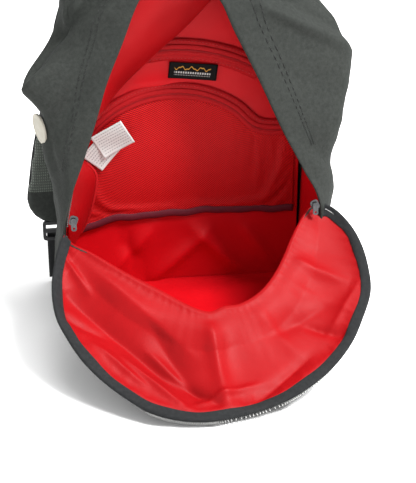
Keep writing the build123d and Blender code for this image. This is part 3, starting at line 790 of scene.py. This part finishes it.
# The large folds are pressed in along listed lines that run down from the fold to the rim.
folds = 1.8 * MM * ripples(front.reshape(-1, 3), 0.06, 11).reshape(flap_part.shape)
for start, end, height, width in (
    ((-156, -78, 98), (-34, -206, 32), -15, 13),
    ((-112, -70, 104), (-20, -170, 52), 8, 14),
    ((-4, -116, 76), (2, -232, 16), 13, 10),
    ((-66, -126, 74), (-22, -214, 26), -9, 12),
    ((-96, -160, 58), (-36, -226, 20), 10, 5),
    ((-72, -152, 60), (-34, -196, 38), 9, 5),
    ((-52, -180, 45), (0, -222, 20), -9, 5),
    ((-30, -216, 26), (40, -196, 30), 9, 4.5),
    ((-8, -228, 16), (52, -214, 20), -7, 4),
    ((-124, -146, 64), (-78, -194, 39), 8, 5),
    ((-164, -104, 80), (-112, -134, 66), -7, 5),
    ((40, -112, 80), (88, -178, 47), 6, 12),
    ((144, -162, 52), (96, -138, 64), -8, 5),
    ((18, -224, 20), (98, -176, 48), -8, 6),
    ((158, -100, 84), (92, -66, 104), 8, 8),
    ((58, -152, 61), (134, -118, 75), -6, 8),
    ((118, -156, 56), (172, -96, 88), 5, 7),
    ((-150, -44, 116), (-124, -90, 95), 6, 5),
    ((-134, -36, 120), (-98, -72, 102), -5, 4),
):
    folds = folds + 0.75 * crease(front, start, end, height, width, 1.3, FLAP_UP)
front = front + up * (flap_part * folds)[..., None]

outer = front - up * 2.6 * MM
flap_cloth = cloth("flap_lining_cloth", front[FOLD_ROW - 1:])
flap_outer = cloth("flap_shell_cloth", outer[FOLD_ROW - 1:])
wall_lining = cloth("front_wall_lining", front[:FOLD_ROW + 1])
wall_shell = cloth("front_wall_shell", outer[:FOLD_ROW + 1])
for piece, thickness in ((flap_cloth, 0.5), (wall_lining, 0.5), (flap_outer, 1.2), (wall_shell, 1.2)):
    thicken(piece, thickness, 0.0, 1)
wear(flap_cloth, lining, "flap", ("flap_lining",))
wear(flap_outer, pack_cloth, "flap", ("flap_shell",))
wear(wall_lining, lining, None, ("lining_front",))
wear(wall_shell, pack_cloth, None, ("shell_front",))
# The wall's pieces ride on no body, and their transforms are written into their meshes.
for piece in (wall_lining, wall_shell):
    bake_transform(piece)

# %% [markdown]
# Rim tape and teeth
# ------------------
# The zip's tape is sewn on round the flap's rim, and its teeth stand out past the cloth. The
# teeth are a moulded zip's: small blocks with a waist, one every 2.2 mm.


# %% Rim tape
def along_line(line, index):
    """The unit direction of a line at a point."""
    run = line[min(index + 1, len(line) - 1)] - line[max(index - 1, 0)]
    return run / np.linalg.norm(run)


def on_cloth(points, surface, way, lift):
    """Each point moved along way onto the surface's face, and lift millimetres off it."""
    tree = BVHTree.FromPolygons(points_of(surface.data).tolist(), [p.vertices for p in surface.data.polygons])
    way = np.array(way) / np.linalg.norm(way)
    landed = []
    for point in points:
        hit = tree.ray_cast(Vector(point - way * 0.03), Vector(way), 0.08)[0]
        base = np.array(hit) if hit else np.array(tree.find_nearest(Vector(point))[0])
        landed.append(base - way * lift * MM)
    return np.array(landed)


TAPE_WIDTH = 12.5
rim = evenly(np.vstack([fold_line[:1], rim_line[2:-2], fold_line[-1:]]), 320)
rim_in = unit(np.cross(FLAP_UP, np.gradient(rim, axis=0)))
if rim_in[160, 1] < 0:
    rim_in = -rim_in
wander = 0.7 * np.sin(np.linspace(0, 70, 320)) * np.sin(np.linspace(0, 19, 320))
tape_rows = []
for reach in (TAPE_WIDTH, TAPE_WIDTH * 0.8, 8, 5.5, 3.5, 1.8):
    line = rim + rim_in * (reach + wander * (reach > TAPE_WIDTH * 0.7))[:, None] * MM
    tape_rows.append(on_cloth(line, flap_cloth, -FLAP_UP, 1.1 if reach < TAPE_WIDTH else 0.4))
edge = tape_rows[-1].copy()
for past, under in ((1.6, 0.6), (2.0, 2.4), (1.0, 4.2), (-5.0, 4.6)):
    tape_rows.append(edge - rim_in * past * MM - FLAP_UP * under * MM)
rim_tape = cloth("flap_rim_tape", np.array(tape_rows))
thicken(rim_tape, 0.9, 0.0, 1)
wear(rim_tape, grey_tape, "flap", ("flap_zip_tape",))


# %% Teeth
def teeth_along(name, line, out, pitch, length, width, thick):
    """A row of teeth along a line: each a block with a waist, standing out from the line."""
    count = int(np.linalg.norm(np.diff(line, axis=0), axis=1).sum() / (pitch * MM))
    line_out = evenly(np.hstack([line, out]), count)
    vertices, faces = [], []
    for i in range(count):
        place, away = line_out[i, :3], line_out[i, 3:] / np.linalg.norm(line_out[i, 3:])
        run = along_line(line_out[:, :3], i)
        high = np.cross(run, away)
        start = len(vertices)
        for reach, half in ((0.0, 0.5), (0.45, 0.34), (0.7, 0.5), (1.0, 0.42)):
            for a, b in ((-1, -1), (1, -1), (1, 1), (-1, 1)):
                tall = thick / 2 * (1 if reach < 0.9 else 0.7)
                stand = away * reach * length + run * a * half * width + high * b * tall
                vertices.append(place + stand * MM)
        for level in range(3):
            for k in range(4):
                a, b = start + level * 4 + k, start + level * 4 + (k + 1) % 4
                faces.append((a, b, b + 4, a + 4))
        faces.append((start + 3, start + 2, start + 1, start))
        faces.append((start + 12, start + 13, start + 14, start + 15))
    piece = new_mesh(name, vertices, faces)
    print(f"{name}: {count} teeth")
    return piece


TOOTH_PITCH = 2.2
low_part = smooth(rim_in[:, 1], 0.45, 0.85)[:, None]
teeth_foot = edge - FLAP_UP * 3.4 * MM + rim_in * (4.0 - 5.6 * low_part) * MM
flap_teeth = teeth_along("flap_teeth", teeth_foot, -rim_in, TOOTH_PITCH, 3.0, 1.2, 1.6)
wear(flap_teeth, teeth_metal, "flap", ("flap_zip_teeth",))

open_part = slice(28, ALONG - 32)
tooth_foot = (behind[-4] - outward[2] * 4.2 * MM)[open_part]
tooth_way = (strip[0] - strip[2] - outward[2] * 0.8 * MM)[open_part]
body_teeth = teeth_along("body_teeth", tooth_foot, tooth_way, TOOTH_PITCH, 2.4, 1.7, 2.2)
wear(body_teeth, teeth_metal, "pack", ("zip_teeth_body",))

# %% [markdown]
# The back of the compartment
# ---------------------------
# The lining of the back is a sheet of the same red nylon, sewn to the side linings all round. On
# it are, from the top, a pocket with an arched zip, a woven label, and a pocket of red net with a
# zip that dips to the right. Under the net the plain lining runs down to the floor.

# %% Back lining
BACK_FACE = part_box("lining_back")[0][1] / MM
BACK_HALF, SHOULDER_Z = 138, 290
columns = np.linspace(-1, 1, 70)


def back_half_width(z):
    """Half the width of the back at a height, in millimetres, inside its seams."""
    dome = np.sqrt(np.clip(1 - ((z - SHOULDER_Z) / BACK_HALF) ** 2, 0, 1))
    return np.where(z < SHOULDER_Z, BACK_HALF, BACK_HALF * dome)


heights = np.linspace(4, 430, 90)
back_rows = np.array([[mm(c * back_half_width(z), BACK_FACE - 0.5, z) for c in columns] for z in heights])
back_lining = cloth("back_lining", back_rows)
held = np.zeros(back_rows.shape[:2])
held[:2] = held[-2:] = 1
held[:, :2] = held[:, -2:] = 1
held[(heights > 84) & (heights < 94)] = 1
crumple(back_lining, held.ravel(), 0.035, 7, frames=18, weight=0.6, stiffness=0.25)
points = points_of(back_lining.data)
for start, end, height, width in (
    ((-104, 12), (-36, 82), 8, 9), ((-44, 10), (30, 74), 9, 8), ((6, 84), (76, 12), 8, 9),
    ((70, 80), (116, 16), 6, 8), ((-74, 80), (-50, 14), -5, 8), ((-92, 276), (-28, 300), 5, 6),
    ((-60, 258), (4, 262), 4, 6),
):
    place = [(x, BACK_FACE, z) for x, z in (start, end)]
    points[:, 1] -= crease(points, *place, height, width, 1.4, (0, 1, 0))
points[:, 1] = np.minimum(points[:, 1], (BACK_FACE + 0.4) * MM)
set_points(back_lining, points)
thicken(back_lining, 0.5, 0.0, 1)
wear(back_lining, inside_lining_painted_bright, "pack", ("lining_back",))

# %% Floor lining and base
floor_outline = half_round(BACK_HALF, 88, 0, 60)
back_edge = np.array([mm(x, BACK_FACE - 1, 0) for x in np.linspace(-BACK_HALF, BACK_HALF, 60)])
FLOOR_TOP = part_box("lining_base")[1][2]
floor_rows = []
for t in np.linspace(0, 1, 50):
    row = floor_outline + (back_edge - floor_outline) * t
    edge_curl = np.exp(-((t / 0.06) ** 2)) + np.exp(-(((1 - t) / 0.06) ** 2))
    row[:, 2] = FLOOR_TOP + 0.5 * MM + 3 * MM * edge_curl
    floor_rows.append(row)
floor_rows = np.array(floor_rows)
floor_lining = cloth("floor_lining", floor_rows)
flat = floor_rows.reshape(-1, 3)
flat[:, 2] += 2.6 * MM * (1 + ripples(flat, 0.07, 21)) * 0.7
set_points(floor_lining, flat)
thicken(floor_lining, 0.5, 0.0, 1)
wear(floor_lining, inside_lining_painted_bright, "pack", ("lining_base",))

# %% [markdown]
# Small sewing helpers
# --------------------
# Stitches are short rods of thread, each with its two ends pushed into the cloth. Bindings and
# bands are flat strips that follow a line and face a given way.


# %% Stitches and bands
def stitches(name, line, out, length=3.0, gap=1.2, thick=0.55, rise=0.35):
    """A line of running stitches along a line, standing rise millimetres out of the cloth."""
    total = np.linalg.norm(np.diff(line, axis=0), axis=1).sum() / MM
    count = max(int(total / (length + gap)), 2)
    fine = evenly(np.hstack([line, out]), count * 8)
    vertices, faces = [], []
    sides = 6
    for i in range(count):
        span = fine[i * 8:i * 8 + 6]
        start = len(vertices)
        for k, row in enumerate(span):
            place, away = row[:3], row[3:] / np.linalg.norm(row[3:])
            run = span[5, :3] - span[0, :3]
            run /= np.linalg.norm(run)
            beside = np.cross(run, away)
            arch = math.sin(k / 5 * math.pi)
            for s in range(sides):
                turn = 2 * math.pi * s / sides
                radius = thick / 2 * MM * (0.6 + 0.4 * arch)
                lift = (rise * arch - 0.1) * MM + radius * math.sin(turn)
                vertices.append(place + away * lift + beside * radius * math.cos(turn))
        for k in range(5):
            for s in range(sides):
                a, b = start + k * sides + s, start + k * sides + (s + 1) % sides
                faces.append((a, b, b + sides, a + sides))
        faces.append(tuple(start + s for s in reversed(range(sides))))
        faces.append(tuple(start + 5 * sides + s for s in range(sides)))
    return shade_smooth(new_mesh(name, vertices, faces))


def band(name, line, out, width, thickness, crown=0.4, steps=9):
    """A flat strip of a width along a line, facing out, a little higher in its middle."""
    rows = []
    beside = np.cross(out, running(line))
    for t in np.linspace(-1, 1, steps):
        rows.append(line + beside * t * width / 2 * MM + out * crown * MM * (1 - t * t))
    piece = cloth(name, np.array(rows))
    return thicken(piece, thickness, 0.0)


def tube(name, line, radius, sides=10):
    """A round cord along a line."""
    rows = []
    run = running(line)
    side = unit(np.cross(run, [0.0, 1.0, 0.0]))
    high = np.cross(side, run)
    for k in range(sides + 1):
        turn = 2 * math.pi * k / sides
        rows.append(line + side * radius * MM * math.cos(turn) + high * radius * MM * math.sin(turn))
    return cloth(name, np.array(rows))


def front_facing(line):
    """The direction to the front, once for each point of a line."""
    return np.tile([0.0, -1.0, 0.0], (len(line), 1))


# %% [markdown]
# Net pocket and pocket zips
# --------------------------
# The net hangs from its zip and bellies out a little. Its zip's tape is sewn down with a row of
# stitches on each side. The coil in the middle is covered by the tape, so it shows as a ridge.

# %% Slack lining
slack_edge = evenly((strip - outward * 5 * MM)[3, 62:118], 50)
slack_fold = evenly(through([mm(*p) for p in (
    (-97, 40, 236), (-72, 56, 262), (-36, 60, 294), (2, 56, 328), (34, 44, 366), (44, 40, 384),
)], 100), 50)
slack_rows = np.array([slack_edge + (slack_fold - slack_edge) * t for t in np.linspace(0, 1, 30)])
slack_rows[..., 1] -= 5 * MM * np.sin(np.linspace(0, 1, 30) * math.pi)[:, None]
slack_turn = slack_rows[-1] + mm(-10, 9, 4)
slack_hem = [slack_rows[-1] + mm(-1, 4, 1), slack_turn, slack_turn + mm(-16, 6, 6)]
slack_rows = np.concatenate([slack_rows, slack_hem])
slack_rows[..., 1] += 1.5 * MM * ripples(slack_rows.reshape(-1, 3), 0.05, 43).reshape(slack_rows.shape[:2])
slack = cloth("slack_lining", slack_rows)
thicken(slack, 0.5, 0.0, 1)
wear(slack, lining, "pack")

# %% Net pocket
POCKET_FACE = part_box("mesh_pocket")[0][1] / MM
ZIP_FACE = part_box("pocket_zip_tape")[0][1] / MM
pocket_top = evenly(through([mm(*p) for p in (
    (-132, POCKET_FACE, 150), (-124, POCKET_FACE, 172), (-108, POCKET_FACE, 200), (-82, POCKET_FACE, 222),
    (-50, POCKET_FACE, 236), (-12, POCKET_FACE, 241), (24, POCKET_FACE, 236), (54, POCKET_FACE, 222),
    (84, POCKET_FACE, 200), (106, POCKET_FACE, 194), (132, POCKET_FACE, 194),
)], 300), 90)
foot_x = np.linspace(-132, 132, 90)
foot_height = np.interp(foot_x, (-132, -112, -95, -75, 29, 111, 132), (82, 89, 95, 98, 101, 97, 96))
pocket_foot = np.array([mm(x, POCKET_FACE, z) for x, z in zip(foot_x, foot_height)])
net_rows = np.array([pocket_foot + (pocket_top - pocket_foot) * t for t in np.linspace(0, 1, 46)])
belly = np.sin(np.linspace(0, 1, 46) * math.pi)[:, None] * np.sin(np.linspace(0, 1, 90) * math.pi)[None, :]
net_rows[..., 1] -= (2 + 6 * belly) * MM
net_pocket = cloth("net_pocket", net_rows)
held = np.zeros(net_rows.shape[:2])
held[:2] = held[-3:] = 1
held[:, :2] = held[:, -2:] = 1
crumple(net_pocket, held.ravel(), 0.012, 3, frames=14, weight=0.5, stiffness=0.8)
thicken(net_pocket, 0.6, 0.0, 1)
wear(net_pocket, net, "pack", ("mesh_pocket",))


# %% Pocket binding
binding_line = pocket_foot.copy()
binding_line[:, 1] = (POCKET_FACE - 3.0) * MM
binding_line[:, 2] += (1 + 1.2 * np.sin(np.linspace(0, 40, 90)) * np.sin(np.linspace(0, 9, 90))) * MM
binding = band("pocket_binding_tape", binding_line, front_facing(binding_line), 8, 1.6, 1.2)
wear(binding, purple_tape, "pack", ("pocket_binding",))


# %% Side tuck
seam_line = evenly(through([mm(*p) for p in (
    (-116, POCKET_FACE - 5, 176), (-103, POCKET_FACE - 6, 160), (-102, POCKET_FACE - 7, 146),
    (-107, POCKET_FACE - 7, 122), (-114, POCKET_FACE - 6, 100), (-122, POCKET_FACE - 4, 84),
)], 120), 40)
side_line = evenly(through([mm(*p) for p in (
    (-128, POCKET_FACE - 6, 190), (-137, 40, 168), (-138, 34, 140), (-138, 34, 110), (-137, 44, 76),
)], 120), 40)
tuck_rows = np.array([seam_line + (side_line - seam_line) * t for t in np.linspace(0, 1, 18)])
tuck_rows[..., 1] -= 6 * MM * np.sin(np.linspace(0, 1, 18) * math.pi)[:, None]
tuck_rows[..., 1] += 1.6 * MM * ripples(tuck_rows.reshape(-1, 3), 0.045, 41).reshape(tuck_rows.shape[:2])
side_tuck = cloth("side_tuck_lining", tuck_rows)
thicken(side_tuck, 0.5, 0.0, 1)
wear(side_tuck, lining, "pack")
edging = tube("side_tuck_piping", seam_line + np.array([0, -1.0, 0]) * MM, 1.7, 8)
wear(edging, red_tape, "pack")
tuck_sewing = seam_line + np.array([-3.5, -1.6, 0]) * MM
tuck_stitches = stitches("side_tuck_stitches", tuck_sewing, front_facing(tuck_sewing), 3.2, 1.6, 0.6)
wear(tuck_stitches, dark_thread, "pack")


# %% Pocket zips
def pocket_zip(name, line, nodes):
    """A tape with a ridge of coil along its middle, and its two rows of stitches."""
    line = evenly(line, 160)
    out = front_facing(line)
    tape = band(f"{name}_tape_cloth", line, out, 25, 0.8, 1.2)
    wear(tape, red_tape, "pack", (nodes[0],))
    for side, end in ((-1, "foot"), (1, "top")):
        guard = band(f"{name}_guard_{end}", line + mm(0, -1.6, side * 3.4), out, 5.5, 0.9, 1.0)
        wear(guard, red_tape, "pack")
        seam = stitches(f"{name}_stitches_{end}", line + mm(0, -0.9, side * 10), out, 2.6, 1.4)
        wear(seam, red_thread, "pack")
    ridge = band(f"{name}_coil", line + mm(0, -1.3, 0), out, 3.4, 1.2, 0.9, 5)
    wear(ridge, red_coil, "pack", (nodes[1],))


def zip_arc(middle, radius, top, left, right, ends):
    """The coil's line: an arc on which the slider runs, with loose ends added to it."""
    turns = np.radians(np.linspace(-left, right, 9))
    arc = [mm(middle + radius * math.sin(a), ZIP_FACE, top - radius + radius * math.cos(a)) for a in turns]
    return through([*arc, *(mm(x, ZIP_FACE, z) for x, z in ends)], 240)


pocket_arc = zip_arc(-12, 123, 247, 64, 50, ((104, 197), (128, 198)))
pocket_zip("pocket_zip", pocket_arc, ("pocket_zip_tape", "pocket_zip_teeth"))
pocket_zip("upper_zip", zip_arc(-14, 200, 298, 31, 31, ()), ("upper_zip_tape", "upper_zip_teeth"))

for name in ("pocket_zip_slider", "upper_zip_slider"):
    wear(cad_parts[name], red_coil)
main_pieces = ("main_slider_left", "main_slider_right", "main_puller_left", "main_puller_right")
for name in (*main_pieces, "pocket_zip_puller", "upper_zip_puller"):
    wear(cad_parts[name], metal)

# %% [markdown]
# Labels
# ------
# A black woven label sits under the upper zip, and two white satin care labels hang from one
# corner at the left. What is woven and printed on them is left to plain bars and a plain curve.


# %% Label cloth
def label_finish():
    """Black satin with a bar of gold hills over two pale bars, woven in."""
    f = Finish("woven_label", Roughness=0.6, Specular_IOR_Level=0.08)
    u, v = f.weave()
    u, v = u / MM, v / MM
    grain = f.noise(900.0)
    inside = ((u - 6.0).clamp() * (48.0 - u).clamp())
    hill = ((u * 0.55).sine() * 1.6 + (u * 1.3).sine() * 0.6 - (v - 12.6)).size()
    gold = (1 - (hill - 0.35).clamp() * 1.8).clamp() * inside
    bar = (1 - ((v - 7.4).size() - 0.9).clamp() * 2.5).clamp()
    bar = bar * ((u * 2.3).sine() * 2 + 1.3).clamp() * inside
    low = (1 - ((v - 4.4).size() - 0.35).clamp() * 3).clamp()
    low = low * ((u * 3.4).sine() * 2 + 1.0).clamp() * inside
    base = f.mix(grain, (0.0008, 0.0008, 0.0008), (0.004, 0.0037, 0.0037))
    golden = f.mix(gold, base, (0.40, 0.20, 0.03))
    f.set(Base_Color=f.mix((bar + low * 0.6).clamp(), golden, (0.40, 0.40, 0.39)))
    f.bump(grain, 0.3, 0.2 * MM)
    return f


def care_finish():
    """White satin with grey lines of small print as broken bars."""
    f = Finish("care_label", Sheen_Weight=0.1)
    u, v = f.weave()
    u, v = u / MM, v / MM
    grain = f.noise(500.0)
    line = (v * (2 * math.pi / 3.4)).sine() > 0.55
    words = (u * 2.1 + (v * 0.9).sine() * 3).sine() > -0.35
    frame_in = (u - 3.0).clamp() * (39.0 - u).clamp() * (v - 3.0).clamp() * (33.0 - v).clamp()
    ink = line * words * frame_in * 0.75
    cloth_white = f.mix(grain, (0.46, 0.46, 0.45), (0.58, 0.58, 0.56))
    f.set(Base_Color=f.mix(ink.clamp(), cloth_white, (0.10, 0.10, 0.105)), Roughness=0.45)
    f.bump(grain, 0.1, 0.2 * MM)
    return f


def turned_sheet(name, width, height, centre, turn, bow, face, nu=24, nv=20):
    """A small sheet, turned about its centre, bowed forwards at its free end."""
    a = math.radians(turn)
    rows = []
    for t in np.linspace(-0.5, 0.5, nv):
        row = []
        for s in np.linspace(-0.5, 0.5, nu):
            x = centre[0] + s * width * math.cos(a) - t * height * math.sin(a)
            z = centre[1] + s * width * math.sin(a) + t * height * math.cos(a)
            row.append(mm(x, face - bow * (0.25 + (s + 0.5) ** 2 + 0.4 * math.sin(3 * t + 2 * s)), z))
        rows.append(row)
    return cloth(name, np.array(rows))


woven_label = turned_sheet("woven_label_cloth", 55, 19, (12, 272), -6, 1.4, BACK_FACE - 3.0)
thicken(woven_label, 0.5, 0.0)
wear(woven_label, label_finish(), "pack", ("woven_label",))
care = care_finish()
care_back = turned_sheet("care_label_under", 38, 30, (-94, 185), 50, 3, POCKET_FACE - 8)
care_front = turned_sheet("care_label_over", 40, 31, (-82, 200), 30, 4, POCKET_FACE - 11)
for piece in (care_back, care_front):
    thicken(piece, 0.25, 0.0)
wear(care_back, care, "pack")
wear(care_front, care, "pack", ("care_labels",))


# %% [markdown]
# Stitch rows on the outside
# --------------------------
# A double row of dark thread runs down each side of the opening, about three centimetres from
# its edge, where the zip panel is joined to the side panel.

# %% Side stitches
def strip_line(start, stop, first_reach, last_reach):
    """A line on the strip, whose distance from the opening's edge in millimetres changes along its length."""
    line, out = [], []
    reaches = np.linspace(first_reach, last_reach, stop - start) * MM
    for i, reach in zip(range(start, stop), reaches):
        row = np.interp(reach, np.concatenate([[0], spread[:, i]]), np.arange(ACROSS))
        low = int(row)
        place = strip[low, i] * (1 - row + low) + strip[low + 1, i] * (row - low)
        line.append(place + outward[low, i] * 0.8 * MM)
        out.append(outward[low, i])
    return np.array(line), np.array(out)


for name, start, stop, first_reach, last_reach in (
    ("left_seam_a", 46, 104, 17, 36), ("left_seam_b", 46, 104, 21, 42),
    ("right_seam_a", 144, 196, 33, 25), ("right_seam_b", 144, 196, 43, 28),
):
    line, out = strip_line(start, stop, first_reach, last_reach)
    wear(stitches(name, line, out, 3.2, 1.5, 0.8, 0.4), dark_thread, "pack")

# %% [markdown]
# Base, back and piping
# ---------------------
# The base is a stiff rounded tray of the same cloth, and a round piping covers the seam between
# the strip and the back. The back itself is cloth under three foam pads of spacer mesh.


# %% Piping
piping = tube("back_piping", evenly(seams, 300) + np.array([0, 0.5, 0]) * MM, 2.6)
wear(piping, grey_tape, "pack")

# %% Back cloth
SHELL_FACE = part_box("shell_back")[1][1] / MM
seam_height = seams[:, 2] / MM
half_seam = np.abs(seams[:, 0]) / MM
right_seam = slice(ALONG // 2, None)
back_cloth_rows = []
for z in np.concatenate([np.linspace(3, 400, 70), np.linspace(404, 435, 14)]):
    half = np.interp(z, seam_height[right_seam][::-1], half_seam[right_seam][::-1])
    back_cloth_rows.append([mm(c * half, SHELL_FACE - 0.8, z) for c in columns])
back_cloth_rows = np.array(back_cloth_rows)
flat = back_cloth_rows.reshape(-1, 3)
flat[:, 1] += 0.9 * MM * np.minimum(ripples(flat, 0.06, 31), 1)
back_cloth = cloth("back_shell_cloth", back_cloth_rows)
thicken(back_cloth, 1.4, 0.0)
wear(back_cloth, pack_cloth, "pack", ("shell_back",))

# %% Base tray
base_line = half_round(143, 93, 0, 80)
outline = np.concatenate([
    base_line,
    [mm(143, y, 0) for y in np.linspace(-10, 84, 16)],
    [mm(x, 91.5, 0) for x in np.linspace(138, -138, 30)],
    [mm(-143, y, 0) for y in np.linspace(84, -10, 16)],
])
tray_middle = mm(0, 10, 0)
away = outline - tray_middle
tray_rows = []
for height, grow in (
    (0.4, -140), (0.4, -60), (0.3, -6), (0.6, -1.5), (2.4, 0), (9, 0.9), (15, 0.8), (16.2, 0.2),
):
    row = tray_middle + away * np.maximum(1 + grow * MM / np.linalg.norm(away, axis=1, keepdims=True), 0.02)
    row[:, 2] = height * MM
    tray_rows.append(row)
tray = cloth("base_tray", np.array(tray_rows), closed=True)
thicken(tray, 0.7, 0.0, 1)
wear(tray, pack_cloth, "pack", ("base_shell",))
tray_seam = (tray_rows[-2] - mm(0, 0, 1.5))[:len(base_line)]
tray_out = (tray_seam - tray_middle) * (1, 1, 0)
wear(stitches("tray_stitches", tray_seam, tray_out, 3.0, 1.4), dark_thread, "pack")

# %% [markdown]
# Pads and shoulder straps
# ------------------------
# Foam pads are blown up from a slightly smaller copy of their own outline: the shape is
# remeshed into small even faces, and pressure inside it rounds it as foam under cloth.


# %% Padding
VOXEL = 5.0


def cushion(name, outline, face, thick, cap=4.0, pressure=3.0):
    """A pad with the given outline (x, z in millimetres) from face backwards, swollen by pressure."""
    n = len(outline)
    vertices = [mm(x, face + d, z) for d in (1.2, thick - 1.2) for x, z in outline]
    faces = [tuple(range(n)), tuple(range(2 * n - 1, n - 1, -1))]
    faces += [(i + n, (i + 1) % n + n, (i + 1) % n, i) for i in range(n)]
    piece = new_mesh(name, vertices, faces)
    remesh = piece.modifiers.new("remesh", "REMESH")
    remesh.mode = "VOXEL"
    remesh.voxel_size = VOXEL * MM
    apply_modifiers(piece)
    points = points_of(piece.data)
    fabric = piece.modifiers.new("cloth", "CLOTH")
    fabric.settings.use_pressure = True
    fabric.settings.uniform_pressure_force = pressure
    fabric.settings.effector_weights.gravity = 0
    points = let_go(piece, 14, cap)
    points[:, 1] = np.clip(points[:, 1], (face + 0.1) * MM, (face + thick + 1.5) * MM)
    set_points(piece, points)
    finer = piece.modifiers.new("finer", "SUBSURF")
    finer.levels = finer.render_levels = 1
    apply_modifiers(piece)
    layer = piece.data.uv_layers.new(name="Weave")
    for loop in piece.data.loops:
        x, _, z = piece.data.vertices[loop.vertex_index].co
        layer.data[loop.index].uv = (x * 10, z * 10)
    return piece


def rounded(x0, z0, x1, z1, radius, steps=6):
    """The outline of a rounded rectangle."""
    left, right, foot, top = x0 + radius, x1 - radius, z0 + radius, z1 - radius
    points = []
    for cx, cz, start in ((right, top, 0), (left, top, 90), (left, foot, 180), (right, foot, 270)):
        for k in range(steps + 1):
            a = math.radians(start + 90 * k / steps)
            points.append((cx + radius * math.cos(a), cz + radius * math.sin(a)))
    return points


def box_mm(node):
    """The corners of a node in millimetres."""
    return [np.array(corner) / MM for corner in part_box(node)]


for node in ("back_pad_left", "back_pad_right", "lumbar_pad"):
    low, high = box_mm(node)
    outline = rounded(low[0] + 1, low[2] + 1, high[0] - 1, high[2] - 1, 19)
    pad = cushion(f"{node}_foam", outline, low[1], high[1] - low[1])
    wear(pad, spacer, "pack", (node,))

# %% Shoulder straps
STRAP_FRONT, STRAP_BACK = box_mm("strap_mesh_right")[0][1], box_mm("strap_cloth_right")[1][1]
CAP_TOP = box_mm("strap_cap_right")[1][2]
STRAP_HALF = 31.0
PAD_SPREAD = 1.13  # the pad's foam swells past the seam that it is drawn from
strap_centre = through([(46, 365), (83, 312), (115, 250), (136, 180), (148, 112)], 60)
for side, name in ((-1, "left"), (1, "right")):
    run = running(strap_centre)
    across = np.stack([run[:, 1], -run[:, 0]], axis=1)
    turns = np.linspace(0.2, math.pi - 0.2, 9)
    ahead, beside = np.sin(turns)[:, None] * STRAP_HALF, np.cos(turns)[:, None] * STRAP_HALF
    foot_turn = strap_centre[-1] + run[-1] * ahead - across[-1] * beside
    top_turn = strap_centre[0] - run[0] * ahead + across[0] * beside
    left_edge, right_edge = strap_centre - across * STRAP_HALF, strap_centre + across * STRAP_HALF
    outline = [(side * x, z) for x, z in [*left_edge, *foot_turn, *right_edge[::-1], *top_turn]]
    if side < 0:
        outline.reverse()
    swollen = []
    for place in np.array(outline[::2]):
        middle = strap_centre * (side, 1)
        near = middle[np.argmin(np.linalg.norm(middle - place, axis=1))]
        swollen.append(tuple(near + (place - near) * PAD_SPREAD))
    depth = STRAP_BACK - STRAP_FRONT - 1.2
    strap = cushion(f"strap_{name}_pad", swollen, STRAP_FRONT + 0.5, depth, cap=3.0, pressure=2.5)
    strap.data.materials.clear()
    for finish in (spacer, pack_cloth):
        strap.data.materials.append(finish.material)
    for polygon in strap.data.polygons:
        polygon.material_index = int(polygon.normal.y > 0.2 or polygon.center.z < CAP_TOP * MM)
    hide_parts(*(f"strap_{layer}_{name}" for layer in ("mesh", "foam", "cloth", "cap")))
    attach(strap, f"strap_{name}")
    edge = np.array([mm(x, STRAP_BACK - 5, z) for x, z in outline + outline[:1]])
    binding = tube(f"strap_{name}_binding", evenly(edge, 260), 2.2, 8)
    wear(binding, grey_tape, f"strap_{name}")


# %% Webbing and buckles
def webbing(name, node, width, body):
    """Webbing that hangs down the middle of a plain node, facing backwards."""
    low, high = box_mm(node)
    x, y, z = (low + high) / 2
    line = evenly(np.array([mm(x, y, height) for height in (high[2], z, low[2])]), 40)
    piece = band(name, line, np.tile([0.0, 1.0, 0.0], (len(line), 1)), width, 1.7, 0.2)
    wear(piece, webbing_cloth, body, (node,))


for name in ("left", "right"):
    webbing(f"lower_webbing_{name}", f"strap_webbing_{name}", 24.5, f"strap_{name}")
    webbing(f"sternum_strap_{name}", f"sternum_webbing_{name}", 19.5, f"sternum_{name}")
for node in ("ladder_lock_left", "ladder_lock_right", "buckle_plug", "buckle_socket"):
    wear(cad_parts[node], black_plastic)
for node in ("strap_anchors", "haul_loop"):
    wear(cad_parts[node], webbing_cloth)
wear(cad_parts["strap_yoke"], pack_cloth)
# Each ring of a badge: its share of the oval's size, and how far it stands out.
BADGE_RINGS = (
    (0.02, 1.9), (0.3, 1.9), (0.55, 1.9), (0.7, 1.1), (0.78, 1.1),
    (0.88, 1.8), (1.0, 1.0), (1.03, 1.0), (1.0, -1.5),
)
for side, name in ((-1, "left"), (1, "right")):
    face = unit(np.array([side * 0.86, -0.48, -0.16]))
    beside = unit(np.cross(face, [0, 0, 1]))
    high = np.cross(beside, face)
    rows = []
    for share, rise in BADGE_RINGS:
        turns = np.linspace(0, 2 * math.pi, 48, endpoint=False)[:, None]
        oval = (beside * 11 * np.cos(turns) + high * 17.5 * np.sin(turns)) * share
        rows.append(mm(side * 163.5, 33, 229) + (face * rise + oval) * MM)
    badge = cloth(f"oval_badge_{name}", np.array(rows), closed=True)
    wear(badge, cream_plastic, "pack", ("side_badges",) if side > 0 else ())
for node in ("back_foam", "frame_sheet", "base_board"):
    wear(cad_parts[node], black_plastic)
